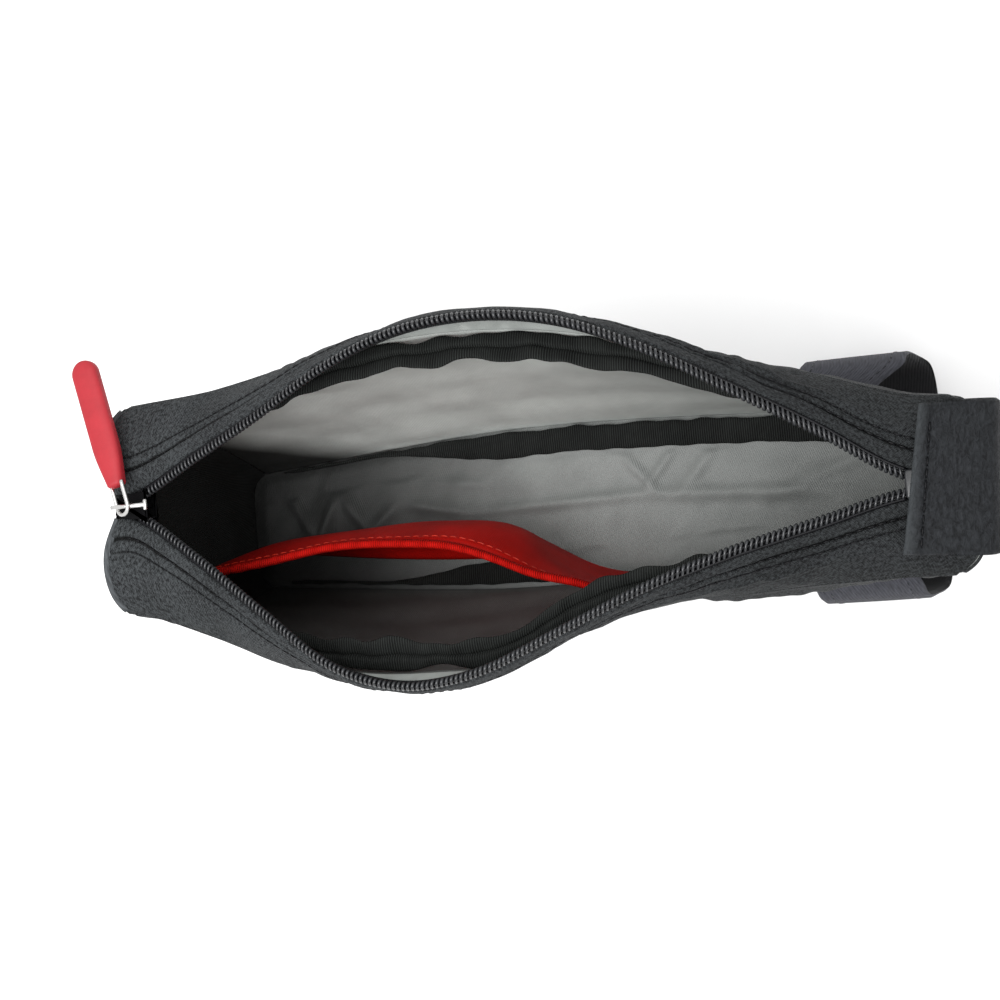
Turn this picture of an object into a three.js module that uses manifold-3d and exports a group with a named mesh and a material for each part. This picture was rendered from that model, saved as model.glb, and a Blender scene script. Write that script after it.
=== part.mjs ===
// Frame bag that stands on a bicycle's top tube, unzipped and spread wide open.
// Millimetres. X runs rearward along the tube, Y to the rider's right, Z up.
// The origin is the middle of the base, where it sits on the tube.
import * as THREE from 'three';
import * as BufferGeometryUtils from 'three/addons/utils/BufferGeometryUtils.js';
import Module from 'manifold-3d';

const wasm = await Module();
wasm.setup();

// Zip and mouth
const ZIP_LENGTH = 199;
const ZIP_HEIGHT = 80;
const ZIP_FRONT_X = -98;
const ZIP_REAR_X = ZIP_FRONT_X + ZIP_LENGTH;
const MOUTH_FRONT_Y = 8;
const MOUTH_REAR_Y = -4;
const COIL_SPREAD = 46;
const COIL_WIDTH = 3;
const COIL_HEIGHT = 2.2;
const COIL_LIFT = { right: 15, left: 12 };
const COIL_SIDES = 6;
const COIL_RUN = { from: 0.006, to: 0.99 };
const TAPE_WIDTH = 5.3;
const TAPE_THICKNESS = 1;
const TAPE_RUN = { from: -0.028, to: 1.02 };
const TAPE_CLEARANCE = 0.4;
const COIL_REACH = COIL_WIDTH / 2 + TAPE_CLEARANCE;
const STOP_LENGTH = 3;
const STOP_WIDTH = 7;
const STOP_HEIGHT = 3;
const STOP_AT = 1.003;

// Body
const CLOTH = 1.6;
const SEAM_GAP = 1.1;
const SEAM_SPREAD = 43;
const SEAM_DROP = 7;
const SEAM_HEIGHT = ZIP_HEIGHT - SEAM_DROP;
const SEAM_END_RISE = 3;
const BASE_HALF_WIDTH = 24;
const WALL_BULGE = { right: 3, left: 7 };
const GUSSET_BULGE = 2.4;
const GUSSET_START = 0.05;
const GUSSET_END_DROP = 4;
const FRONT_MARGIN = 5;
const REAR_MARGIN = 11;
const FRONT_LEAN = 5;
const REAR_LEAN = 6;
const TOP_FRONT_X = ZIP_FRONT_X - FRONT_MARGIN;
const TOP_REAR_X = ZIP_REAR_X + REAR_MARGIN;
const BASE_FRONT_X = TOP_FRONT_X + FRONT_LEAN;
const BASE_REAR_X = TOP_REAR_X - REAR_LEAN;
const END_ROUND = 5;
const END_SQUARENESS = 7;
const END_REACH = 0.993;
const END_RISE = { from: 0.03, to: 0.965 };
const BOTTOM_REACH = 0.95;

// Bindings
const BINDING_WIDTH = 7.5;
const BINDING_THICKNESS = 1.8;
const BINDING_CLEARANCE = 1.5;
const BINDING_WAVE = 0.9;
const BINDING_WAVE_PITCH = 7;
const BINDING_WAVE_DRIFT = 17;
const BINDING_TAPER = 0.8;
const BINDING_DROP = 1;
const BINDING_FRONT_INSET = 6;
const TOP_BINDING_REAR_INSET = 12;
const TOP_BINDING_TILT = { ends: -0.12, middle: 0.42 };
const BASE_BINDING_REAR_INSET = 8;
const BASE_BINDING_HEIGHT = 4.6;
const BASE_BINDING_TILT = -0.06;

// Slip pocket on the left wall
const POCKET_FRONT_REACH = 2.5;
const POCKET_REAR_X = 26;
const POCKET_FOOT_Z = 7;
const POCKET_MOUTH_Z = 60;
const POCKET_DEPTH = 32;
const POCKET_WALL_GAP = 2;
const POCKET_FOOT_INSET = { front: 11, rear: 1, from: 0.7 };
const POCKET_TURN = 0.62;
const POCKET_FULLNESS = 0.8;
const POCKET_CLOTH = 1.2;
const POCKET_PANEL_RISE = { from: 0.02, to: 0.955 };
const POCKET_BINDING_HALF_WIDTH = 1.5;
const POCKET_BINDING_HALF_HEIGHT = 1.86;
const POCKET_BINDING_SIDES = 6;

// Rear tab and straps
const TAB_HALF_WIDTH = 17;
const TAB_GAP = 0.5;
const TAB_START_X = ZIP_REAR_X + TAB_GAP;
const TAB_THICKNESS = 1.8;
const TAB_CLEARANCE = 1.9;
const TAB_LIFT = 4;
const TAB_SHOULDER_AT = 0.6;
const TAB_SHOULDER_LIFT = 3.6;
const TAB_EDGE_OUT = 1.7;
const TAB_EDGE_LIFT = 1.5;
const TAB_BEND_OUT = 1.2;
const TAB_BEND_DROP = 6;
const TAB_MIDDLE_OUT = 0.4;
const TAB_FLARE = 1.06;
const TAB_SKEW = 0.12;
const TAB_OFFSET = 1.2;
const TAB_FOOT_Z = 10;
const STRAP_WIDTH = 30;
const STRAP_HALF_SPAN = 36;
const STRAP_DROP = 62;
const STRAP_SLANT = 8;
const STRAP_THICKNESS = 1.6;
const STRAP_CLEARANCE = 0.35;
const STRAP_END = 0.426;
const STRAP_SQUARENESS = 0.4;
const STRAP_LEAD_SPAN = 0.27;
const REAR_STRAP_INSET = 14;
const REAR_STRAP_LEAD = { right: 13, left: 4 };
const FRONT_STRAP_INSET = 28;
const FRONT_STRAP_LEAD = { right: 0, left: 0 };
const REAR_STRAP_X = BASE_REAR_X - REAR_STRAP_INSET;
const FRONT_STRAP_X = BASE_FRONT_X + FRONT_STRAP_INSET;

// Slider and pull
const SLIDER_LENGTH = 11;
const SLIDER_HALF_WIDTH = 4.6;
const SLIDER_PLATE = 1.1;
const SLIDER_GAP = 3.8;
const SLIDER_NECK = 0.62;
const SLIDER_WAIST = 0.2;
const POST_RADIUS = 0.7;
const POST_AT = 0.42;
const LEG_SINK = 0.5;
const BAR_RADIUS = 0.8;
const BAR_HEIGHT = 3.8;
const BAR_AXIS = SLIDER_GAP / 2 + SLIDER_PLATE + BAR_HEIGHT;
const BAR_LENGTH = 11.4;
const BAR_END_SPAN = 3.4;
const BAR_END_RADIUS = 0.72;
const LOOP_WIRE = 0.65;
const LOOP_HALF_WIDTH = 2.45;
const LOOP_LENGTH = 7.4;
const LOOP_BEND = 0.9;
const LOOP_SLACK = 0.1;
const LOOP_TILT = THREE.MathUtils.degToRad(50);
const GRIP_LENGTH = 36;
const GRIP_HALF_WIDTH = 3.8;
const GRIP_THICKNESS = 3.8;
const GRIP_GAP = 0.45;
const GRIP_NECK = 0.62;
const GRIP_SHOULDER = 5;
const GRIP_TAPER = 11;
const GRIP_BEVEL = 0.8;
const PULL_YAW = THREE.MathUtils.degToRad(15);
const PULL_DROOP = THREE.MathUtils.degToRad(4);

// One row for each section of the bag. at is the share of the zip's length from its front end.
// The coil columns are shares of COIL_SPREAD and the seam columns shares of SEAM_SPREAD, both
// counted from the mouth line. base is a share of BASE_HALF_WIDTH and bulge one of WALL_BULGE.
const SECTIONS = [
  { at: -0.04, coilRight: 0.05, coilLeft: 0.05, seamRight: 0.62, seamLeft: 0.67, base: 0.73, bulge: 0.6 },
  { at: 0.0, coilRight: 0.05, coilLeft: 0.05, seamRight: 0.64, seamLeft: 0.66, base: 0.76, bulge: 0.61 },
  { at: 0.1, coilRight: 0.26, coilLeft: 0.32, seamRight: 0.7, seamLeft: 0.8, base: 0.83, bulge: 0.65 },
  { at: 0.2, coilRight: 0.465, coilLeft: 0.62, seamRight: 0.805, seamLeft: 0.97, base: 0.9, bulge: 0.68 },
  { at: 0.3, coilRight: 0.695, coilLeft: 0.9, seamRight: 0.93, seamLeft: 1.04, base: 0.96, bulge: 0.71 },
  { at: 0.4, coilRight: 0.86, coilLeft: 1, seamRight: 0.985, seamLeft: 1.035, base: 1, bulge: 0.73 },
  { at: 0.5, coilRight: 0.92, coilLeft: 0.915, seamRight: 0.99, seamLeft: 0.98, base: 1, bulge: 0.74 },
  { at: 0.6, coilRight: 0.88, coilLeft: 0.7, seamRight: 0.94, seamLeft: 0.74, base: 0.98, bulge: 0.52 },
  { at: 0.7, coilRight: 0.73, coilLeft: 0.485, seamRight: 0.84, seamLeft: 0.6, base: 0.94, bulge: 0.47 },
  { at: 0.8, coilRight: 0.515, coilLeft: 0.315, seamRight: 0.715, seamLeft: 0.57, base: 0.89, bulge: 0.5 },
  { at: 0.9, coilRight: 0.29, coilLeft: 0.18, seamRight: 0.59, seamLeft: 0.52, base: 0.84, bulge: 0.44 },
  { at: 1.0, coilRight: 0.05, coilLeft: 0.05, seamRight: 0.46, seamLeft: 0.485, base: 0.8, bulge: 0.3 },
  { at: 1.08, coilRight: 0.05, coilLeft: 0.05, seamRight: 0.44, seamLeft: 0.475, base: 0.78, bulge: 0.25 },
];

// One row for each stretch of the pocket. at is the share of its length from the front,
// belly and mouth are shares of POCKET_DEPTH, and sink is how far the mouth dips in shares
// of the pocket's height.
const POCKET_SECTIONS = [
  { at: 0.0, belly: 0.20, mouth: 0.20, sink: 0.06 },
  { at: 0.2, belly: 0.70, mouth: 0.55, sink: 0.00 },
  { at: 0.4, belly: 0.95, mouth: 0.96, sink: 0.00 },
  { at: 0.6, belly: 1.06, mouth: 1.03, sink: 0.02 },
  { at: 0.75, belly: 0.95, mouth: 0.86, sink: 0.04 },
  { at: 0.9, belly: 0.30, mouth: 0.42, sink: 0.08 },
  { at: 1.0, belly: 0.04, mouth: 0.06, sink: 0.12 },
];

const SIDES = { right: 1, left: -1 };
const MOUTH_YAW = Math.atan2(MOUTH_FRONT_Y - MOUTH_REAR_Y, ZIP_LENGTH);

function mix(from, to, share) {
  return from + (to - from) * share;
}

function clamp(value, low, high) {
  return Math.min(high, Math.max(low, value));
}

function smoothStep(share) {
  const t = clamp(share, 0, 1);
  return t * t * (3 - 2 * t);
}

// Smooth value of one column between the rows of a table
function columnValue(table, column, at) {
  const last = table.length - 2;
  let row = 0;
  while (row < last && at > table[row + 1].at) row += 1;
  const slope = (index) => {
    const before = table[Math.max(0, index - 1)];
    const after = table[Math.min(table.length - 1, index + 1)];
    return (after[column] - before[column]) / (after.at - before.at);
  };
  const start = table[row];
  const end = table[row + 1];
  const span = end.at - start.at;
  const t = clamp((at - start.at) / span, 0, 1);
  const t2 = t * t;
  const t3 = t2 * t;
  return start[column] * (2 * t3 - 3 * t2 + 1) + slope(row) * span * (t3 - 2 * t2 + t)
    + end[column] * (3 * t2 - 2 * t3) + slope(row + 1) * span * (t3 - t2);
}

function stationOf(x) {
  return (x - ZIP_FRONT_X) / ZIP_LENGTH;
}

function mouthY(at) {
  return mix(MOUTH_FRONT_Y, MOUTH_REAR_Y, at);
}

// A point in the bag's own twist: the mouth is turned against the base, so its centre line
// and its cross direction blend in with the height.
function bagPoint(x, across, z) {
  const blend = z / ZIP_HEIGHT;
  const yaw = MOUTH_YAW * blend;
  return new THREE.Vector3(
    x + across * Math.sin(yaw),
    mouthY(stationOf(x)) * blend + across * Math.cos(yaw),
    z,
  );
}

// How far the bag's ends round forward and rearward at a share of its half width
function endRound(share) {
  return END_ROUND * (1 - Math.abs(share) ** END_SQUARENESS);
}

function middleBump(at) {
  return Math.sin(Math.PI * clamp(at, 0, 1)) ** 1.2;
}

function coilAcross(side, at) {
  const column = side === 'right' ? 'coilRight' : 'coilLeft';
  return COIL_SPREAD * columnValue(SECTIONS, column, at);
}

function coilHeight(side, at) {
  return ZIP_HEIGHT + COIL_LIFT[side] * middleBump(at);
}

function seamAcross(side, at) {
  const column = side === 'right' ? 'seamRight' : 'seamLeft';
  return SEAM_SPREAD * columnValue(SECTIONS, column, at);
}

function seamHeight(at) {
  return SEAM_HEIGHT + SEAM_END_RISE * (1 - middleBump(at));
}

function baseAcross(at) {
  return BASE_HALF_WIDTH * columnValue(SECTIONS, 'base', at);
}

// Side wall: share 0 is the base seam and share 1 the top seam
function wallSection(side, at, share) {
  const fullness = columnValue(SECTIONS, 'bulge', at);
  const bulge = WALL_BULGE[side] * fullness * 4 * share * (1 - share);
  return {
    across: mix(baseAcross(at), seamAcross(side, at), share) + bulge,
    z: mix(CLOTH / 2, seamHeight(at), share),
  };
}

// Top gusset and tape: share 0 is the top seam and share 1 the coil
function gussetSection(side, at, share) {
  const seam = { across: seamAcross(side, at), z: seamHeight(at) };
  const coil = { across: coilAcross(side, at), z: coilHeight(side, at) };
  const run = Math.hypot(coil.across - seam.across, coil.z - seam.z);
  const bulge = GUSSET_BULGE * 4 * share * (1 - share);
  return {
    across: mix(seam.across, coil.across, share) + bulge * (coil.z - seam.z) / run,
    z: mix(seam.z, coil.z, share) - bulge * (coil.across - seam.across) / run,
    run,
  };
}

function frontX(z) {
  return mix(BASE_FRONT_X, TOP_FRONT_X, z / ZIP_HEIGHT);
}

function rearX(z) {
  return mix(BASE_REAR_X, TOP_REAR_X, z / ZIP_HEIGHT);
}

// A closed mesh from rings of points. Rings follow each other, and the first and last
// are capped by fans.
function loft(rings) {
  const sides = rings[0].length;
  const positions = [];
  const index = [];
  rings.forEach((ring) => ring.forEach((p) => positions.push(p.x, p.y, p.z)));
  for (let r = 0; r < rings.length - 1; r += 1) {
    for (let s = 0; s < sides; s += 1) {
      const a = r * sides + s;
      const b = r * sides + (s + 1) % sides;
      index.push(a, b, b + sides, a, b + sides, a + sides);
    }
  }
  const lastRing = (rings.length - 1) * sides;
  for (let s = 1; s < sides - 1; s += 1) {
    index.push(0, s + 1, s);
    index.push(lastRing, lastRing + s, lastRing + s + 1);
  }
  return facingOut(positions, index);
}

// Turns the triangles over if they enclose a negative volume
function facingOut(positions, index) {
  const corner = (i) => new THREE.Vector3().fromArray(positions, 3 * index[i]);
  let volume = 0;
  for (let i = 0; i < index.length; i += 3) {
    volume += corner(i).dot(corner(i + 1).cross(corner(i + 2)));
  }
  if (volume < 0) index.reverse();
  const geometry = new THREE.BufferGeometry();
  geometry.setAttribute('position', new THREE.Float32BufferAttribute(positions, 3));
  geometry.setIndex(index);
  return geometry;
}

// A sheet of even thickness over a surface given as surface(a, b), both from 0 to 1
function sheet(surface, columns, rows, thickness) {
  const step = 1e-3;
  const positions = [];
  const index = [];
  const layers = [thickness / 2, -thickness / 2];
  layers.forEach((offset) => {
    for (let i = 0; i <= columns; i += 1) {
      for (let j = 0; j <= rows; j += 1) {
        const a = i / columns;
        const b = j / rows;
        const alongA = surface(Math.min(1, a + step), b).sub(surface(Math.max(0, a - step), b));
        const alongB = surface(a, Math.min(1, b + step)).sub(surface(a, Math.max(0, b - step)));
        const normal = alongA.cross(alongB).normalize();
        const point = surface(a, b).addScaledVector(normal, offset);
        positions.push(point.x, point.y, point.z);
      }
    }
  });
  const layerSize = (columns + 1) * (rows + 1);
  const at = (layer, i, j) => layer * layerSize + i * (rows + 1) + j;
  const quad = (a, b, c, d) => index.push(a, b, c, a, c, d);
  for (let i = 0; i < columns; i += 1) {
    for (let j = 0; j < rows; j += 1) {
      quad(at(0, i, j), at(0, i + 1, j), at(0, i + 1, j + 1), at(0, i, j + 1));
      quad(at(1, i, j), at(1, i, j + 1), at(1, i + 1, j + 1), at(1, i + 1, j));
    }
  }
  for (let i = 0; i < columns; i += 1) {
    quad(at(0, i, 0), at(1, i, 0), at(1, i + 1, 0), at(0, i + 1, 0));
    quad(at(0, i + 1, rows), at(1, i + 1, rows), at(1, i, rows), at(0, i, rows));
  }
  for (let j = 0; j < rows; j += 1) {
    quad(at(0, 0, j + 1), at(1, 0, j + 1), at(1, 0, j), at(0, 0, j));
    quad(at(0, columns, j), at(1, columns, j), at(1, columns, j + 1), at(0, columns, j + 1));
  }
  return facingOut(positions, index);
}

function solidOf(geometry) {
  const bare = geometry.clone();
  bare.deleteAttribute('normal');
  bare.deleteAttribute('uv');
  const merged = BufferGeometryUtils.mergeVertices(bare, 1e-4);
  return new wasm.Manifold(new wasm.Mesh({
    numProp: 3,
    vertProperties: merged.attributes.position.array,
    triVerts: new Uint32Array(merged.index.array),
  }));
}

function joined(geometries) {
  const mesh = geometries.map(solidOf).reduce((whole, piece) => whole.add(piece)).getMesh();
  const geometry = new THREE.BufferGeometry();
  geometry.setAttribute('position', new THREE.BufferAttribute(mesh.vertProperties, 3));
  geometry.setIndex(new THREE.BufferAttribute(mesh.triVerts, 1));
  return geometry;
}

const materials = {
  outerCloth: { color: 0x2f3137, roughness: 0.85, metalness: 0 },
  liningCloth: { color: 0x9b9a95, roughness: 0.6, metalness: 0 },
  webbing: { color: 0x1b1c1e, roughness: 0.8, metalness: 0 },
  coil: { color: 0x17181b, roughness: 0.4, metalness: 0 },
  pocketCloth: { color: 0xc41a12, roughness: 0.6, metalness: 0 },
  brushedCloth: { color: 0x34363b, roughness: 0.9, metalness: 0 },
  nickel: { color: 0xd2d4d6, roughness: 0.22, metalness: 1 },
  rubber: { color: 0xd13a44, roughness: 0.55, metalness: 0 },
};

const bag = new THREE.Group();

function addPiece(name, geometry, material) {
  const mesh = new THREE.Mesh(geometry, new THREE.MeshStandardMaterial(materials[material]));
  mesh.name = name;
  bag.add(mesh);
  return mesh;
}

// Side walls, one on each side, from the base seam to the top seam
function sidePanel(side) {
  const lowest = SEAM_GAP / SEAM_HEIGHT;
  return sheet((a, b) => {
    const share = mix(lowest, 1 - lowest, b);
    const z = mix(CLOTH / 2, SEAM_HEIGHT, share);
    const x = mix(frontX(z) + SEAM_GAP, rearX(z) - SEAM_GAP, a);
    const section = wallSection(side, stationOf(x), share);
    return bagPoint(x, SIDES[side] * section.across, section.z);
  }, 28, 5, CLOTH);
}

// Ends: a panel that spans between the side walls and rounds outward
function endPanel(edgeX, direction) {
  return sheet((a, b) => {
    const across = mix(-END_REACH, END_REACH, a);
    const share = mix(END_RISE.from, END_RISE.to, b);
    const height = mix(CLOTH / 2, SEAM_HEIGHT + SEAM_END_RISE, share);
    const x = edgeX(height) + direction * endRound(across);
    const at = stationOf(edgeX(height));
    const side = across < 0 ? 'left' : 'right';
    const reach = wallSection(side, at, share).across;
    return bagPoint(x, across * reach, height);
  }, 14, 6, CLOTH);
}

// Bottom panel, flat where it sits on the tube
function bottomPanel() {
  return sheet((a, b) => {
    const across = mix(-BOTTOM_REACH, BOTTOM_REACH, b);
    const front = BASE_FRONT_X + SEAM_GAP - endRound(across);
    const rear = BASE_REAR_X - SEAM_GAP + endRound(across);
    const x = mix(front, rear, a);
    return new THREE.Vector3(x, across * baseAcross(stationOf(x)), CLOTH / 2);
  }, 20, 6, CLOTH);
}

// Top gussets, from the top seam to the stitched edge over the zip tape
function topGusset(side) {
  return sheet((a, b) => {
    const width = (at) => gussetSection(side, at, 0).run;
    const share = (at) => mix(GUSSET_START, 1 - (TAPE_WIDTH + TAPE_CLEARANCE) / width(at), b);
    const z = ZIP_HEIGHT - GUSSET_END_DROP;
    const middle = clamp(mix(frontX(z), rearX(z), a), TOP_FRONT_X, TOP_REAR_X);
    const section = gussetSection(side, stationOf(middle), share(stationOf(middle)));
    const reach = section.across / seamAcross(side, stationOf(middle));
    const round = endRound(clamp(reach, 0, 1)) - SEAM_GAP;
    const x = mix(frontX(z) - round, rearX(z) + round, a);
    const shaped = gussetSection(side, stationOf(x), share(stationOf(x)));
    return bagPoint(x, SIDES[side] * shaped.across, shaped.z);
  }, 32, 4, CLOTH);
}

// Zip tapes, from the gusset's stitched edge to the coil
function zipTape(side) {
  return sheet((a, b) => {
    const at = mix(TAPE_RUN.from, TAPE_RUN.to, a);
    const run = gussetSection(side, at, 0).run;
    const share = mix(1 - TAPE_WIDTH / run, 1 - COIL_REACH / run, b);
    const section = gussetSection(side, at, share);
    const x = ZIP_FRONT_X + ZIP_LENGTH * at;
    return bagPoint(x, SIDES[side] * section.across, section.z);
  }, 40, 1, TAPE_THICKNESS);
}

// Zip coils as rounded strips on the tapes' edges
function zipCoil(side) {
  const rings = [];
  const steps = 46;
  for (let i = 0; i <= steps; i += 1) {
    const at = mix(COIL_RUN.from, COIL_RUN.to, i / steps);
    const x = ZIP_FRONT_X + ZIP_LENGTH * at;
    const ring = [];
    for (let k = 0; k < COIL_SIDES; k += 1) {
      const angle = 2 * Math.PI * (k + 0.5) / COIL_SIDES;
      const across = coilAcross(side, at) + Math.cos(angle) * COIL_WIDTH / 2;
      const z = coilHeight(side, at) + Math.sin(angle) * COIL_HEIGHT / 2;
      ring.push(bagPoint(x, SIDES[side] * across, z));
    }
    rings.push(ring);
  }
  return loft(rings);
}

// A bound seam edge: a flat flange that stands into the bag from its seam
function binding(side, seam, reach, steps) {
  const rings = [];
  for (let i = 0; i <= steps; i += 1) {
    const x = mix(reach.from, reach.to, i / steps);
    const root = seam(stationOf(x));
    const wave = BINDING_WAVE * Math.sin(x / BINDING_WAVE_PITCH)
      * Math.sin(x / BINDING_WAVE_DRIFT + SIDES[side]);
    const tilt = root.tilt + wave / BINDING_WIDTH;
    const inward = { across: -Math.cos(tilt), z: Math.sin(tilt) };
    const up = { across: Math.sin(tilt), z: Math.cos(tilt) };
    const corner = (along, over) => bagPoint(
      x,
      SIDES[side] * (root.across + inward.across * along + up.across * over),
      root.z + inward.z * along + up.z * over,
    );
    const half = BINDING_THICKNESS / 2;
    rings.push([
      corner(root.start, -half),
      corner(root.start, half),
      corner(root.start + BINDING_WIDTH, half * BINDING_TAPER),
      corner(root.start + BINDING_WIDTH, -half * BINDING_TAPER),
    ]);
  }
  return loft(rings);
}

function topBinding(side) {
  const seam = (at) => ({
    across: seamAcross(side, at),
    z: seamHeight(at) - BINDING_DROP,
    tilt: mix(TOP_BINDING_TILT.ends, TOP_BINDING_TILT.middle, middleBump(at)),
    start: BINDING_CLEARANCE,
  });
  const from = ZIP_FRONT_X + BINDING_FRONT_INSET;
  return binding(side, seam, { from, to: TOP_REAR_X - TOP_BINDING_REAR_INSET }, 40);
}

function baseBinding(side) {
  const seam = (at) => ({
    across: baseAcross(at),
    z: BASE_BINDING_HEIGHT,
    tilt: BASE_BINDING_TILT,
    start: BINDING_CLEARANCE,
  });
  const from = BASE_FRONT_X + BINDING_FRONT_INSET;
  return binding(side, seam, { from, to: BASE_REAR_X - BASE_BINDING_REAR_INSET }, 32);
}

// Slip pocket: a full panel from the front end to the left wall that leans back at its mouth
function pocketPoint(a, b) {
  const height = POCKET_MOUTH_Z - POCKET_FOOT_Z;
  const top = POCKET_MOUTH_Z - height * columnValue(POCKET_SECTIONS, 'sink', a);
  const z = mix(POCKET_FOOT_Z, top, b);
  const x = mix(frontX(z) - POCKET_FRONT_REACH, POCKET_REAR_X, a);
  const wall = wallSection('left', stationOf(x), z / SEAM_HEIGHT).across;
  const fill = Math.sin(Math.PI * b * POCKET_TURN) ** POCKET_FULLNESS;
  const belly = columnValue(POCKET_SECTIONS, 'belly', a) * fill;
  const lean = columnValue(POCKET_SECTIONS, 'mouth', a) / columnValue(POCKET_SECTIONS, 'belly', a);
  const depth = POCKET_DEPTH * belly * mix(1, lean, b ** 4);
  const foot = POCKET_FOOT_INSET;
  const rearward = smoothStep((a - foot.from) / (1 - foot.from));
  const footInset = mix(foot.front, foot.rear, rearward) * (1 - b) ** 2;
  return bagPoint(x, -(wall - POCKET_WALL_GAP - depth - footInset), z);
}

function pocketPanel() {
  const rise = POCKET_PANEL_RISE;
  return sheet((a, b) => pocketPoint(a, mix(rise.from, rise.to, b)), 26, 7, POCKET_CLOTH);
}

function pocketBinding() {
  const rings = [];
  const steps = 26;
  for (let i = 0; i <= steps; i += 1) {
    const a = i / steps;
    const centre = pocketPoint(a, 1);
    const ring = [];
    for (let k = 0; k < POCKET_BINDING_SIDES; k += 1) {
      const angle = 2 * Math.PI * k / POCKET_BINDING_SIDES;
      ring.push(centre.clone().add(new THREE.Vector3(
        0,
        Math.cos(angle) * POCKET_BINDING_HALF_WIDTH,
        Math.sin(angle) * POCKET_BINDING_HALF_HEIGHT,
      )));
    }
    rings.push(ring);
  }
  return loft(rings);
}

// Rear tab: from its hem over the zip's end, back over the rear edge and down the rear wall
function rearTab() {
  const edgeX = TOP_REAR_X + END_ROUND;
  const middleZ = ZIP_HEIGHT / 2;
  const wallX = (z) => rearX(z) + END_ROUND + TAB_CLEARANCE;
  const path = new THREE.CatmullRomCurve3([
    new THREE.Vector3(TAB_START_X, 0, ZIP_HEIGHT + TAB_LIFT),
    new THREE.Vector3(mix(TAB_START_X, edgeX, TAB_SHOULDER_AT), 0, ZIP_HEIGHT + TAB_SHOULDER_LIFT),
    new THREE.Vector3(edgeX + TAB_EDGE_OUT, 0, ZIP_HEIGHT + TAB_EDGE_LIFT),
    new THREE.Vector3(edgeX + TAB_CLEARANCE + TAB_BEND_OUT, 0, SEAM_HEIGHT - TAB_BEND_DROP),
    new THREE.Vector3(wallX(middleZ) + TAB_MIDDLE_OUT, 0, middleZ),
    new THREE.Vector3(wallX(TAB_FOOT_Z), 0, TAB_FOOT_Z),
  ], false, 'centripetal');
  return sheet((a, b) => {
    const point = path.getPoint(a);
    const across = mix(-TAB_HALF_WIDTH, TAB_HALF_WIDTH, b) * mix(1, TAB_FLARE, a);
    const skew = TAB_SKEW * across * (1 - a) ** 4;
    return bagPoint(point.x + skew, across + TAB_OFFSET, point.z);
  }, 22, 4, TAB_THICKNESS);
}

// Straps: a band sewn in at both base seams that goes down round the tube. It slants rearward
// as it goes down, and lead is how much further forward it is sewn in on each side.
function strap(centreX, lead) {
  const topZ = -STRAP_THICKNESS / 2 - STRAP_CLEARANCE;
  return sheet((a, b) => {
    const angle = mix(-STRAP_END, 1 + STRAP_END, a) * Math.PI;
    const squared = (value) => Math.sign(value) * Math.abs(value) ** STRAP_SQUARENESS;
    const y = (STRAP_HALF_SPAN - STRAP_THICKNESS / 2) * squared(Math.cos(angle));
    const low = squared(Math.sin(-STRAP_END * Math.PI));
    const depth = (squared(Math.sin(angle)) - low) / (1 - low);
    const z = topZ - STRAP_DROP * depth;
    const nearEnd = 1 - smoothStep(2 * Math.min(a, 1 - a) / STRAP_LEAD_SPAN);
    const start = lead[y < 0 ? 'left' : 'right'] * nearEnd;
    const x = centreX + mix(-0.5, 0.5, b) * STRAP_WIDTH - STRAP_SLANT * (1 - depth) - start;
    return new THREE.Vector3(x, y, z);
  }, 32, 2, STRAP_THICKNESS);
}

function sliderOutline() {
  const half = SLIDER_LENGTH / 2;
  const neck = SLIDER_HALF_WIDTH * SLIDER_NECK;
  const waist = -half * SLIDER_WAIST;
  const outline = new THREE.Shape();
  outline.moveTo(-half, -neck);
  outline.quadraticCurveTo(waist, -SLIDER_HALF_WIDTH, half, -SLIDER_HALF_WIDTH);
  outline.lineTo(half, SLIDER_HALF_WIDTH);
  outline.quadraticCurveTo(waist, SLIDER_HALF_WIDTH, -half, neck);
  outline.closePath();
  return outline;
}

// Slider: two plates on a post, with the bar that the pull swings on
function sliderBody() {
  const plate = () => new THREE.ExtrudeGeometry(sliderOutline(), {
    depth: SLIDER_PLATE, bevelEnabled: false, curveSegments: 5,
  });
  const lower = plate().translate(0, 0, -SLIDER_GAP / 2 - SLIDER_PLATE);
  const upper = plate().translate(0, 0, SLIDER_GAP / 2);
  const postHeight = SLIDER_GAP + SLIDER_PLATE;
  const post = new THREE.CylinderGeometry(POST_RADIUS, POST_RADIUS, postHeight, 10);
  post.rotateX(Math.PI / 2).translate(SLIDER_LENGTH * POST_AT, 0, 0);
  const bar = new THREE.CylinderGeometry(BAR_RADIUS, BAR_RADIUS, BAR_LENGTH, 12);
  bar.rotateZ(Math.PI / 2).translate(0, 0, BAR_AXIS);
  const legs = [-1, 1].map((end) => {
    const leg = new THREE.CylinderGeometry(BAR_RADIUS, BAR_RADIUS, BAR_HEIGHT + LEG_SINK, 12);
    leg.rotateX(Math.PI / 2);
    const middleZ = BAR_AXIS - (BAR_HEIGHT + LEG_SINK) / 2;
    return leg.translate(end * (SLIDER_LENGTH / 2 - BAR_RADIUS), 0, middleZ);
  });
  const cap = new THREE.CylinderGeometry(BAR_END_RADIUS, BAR_END_RADIUS, BAR_END_SPAN, 10);
  cap.translate(BAR_LENGTH / 2, 0, BAR_AXIS);
  return joined([lower, upper, post, bar, ...legs, cap]);
}

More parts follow.
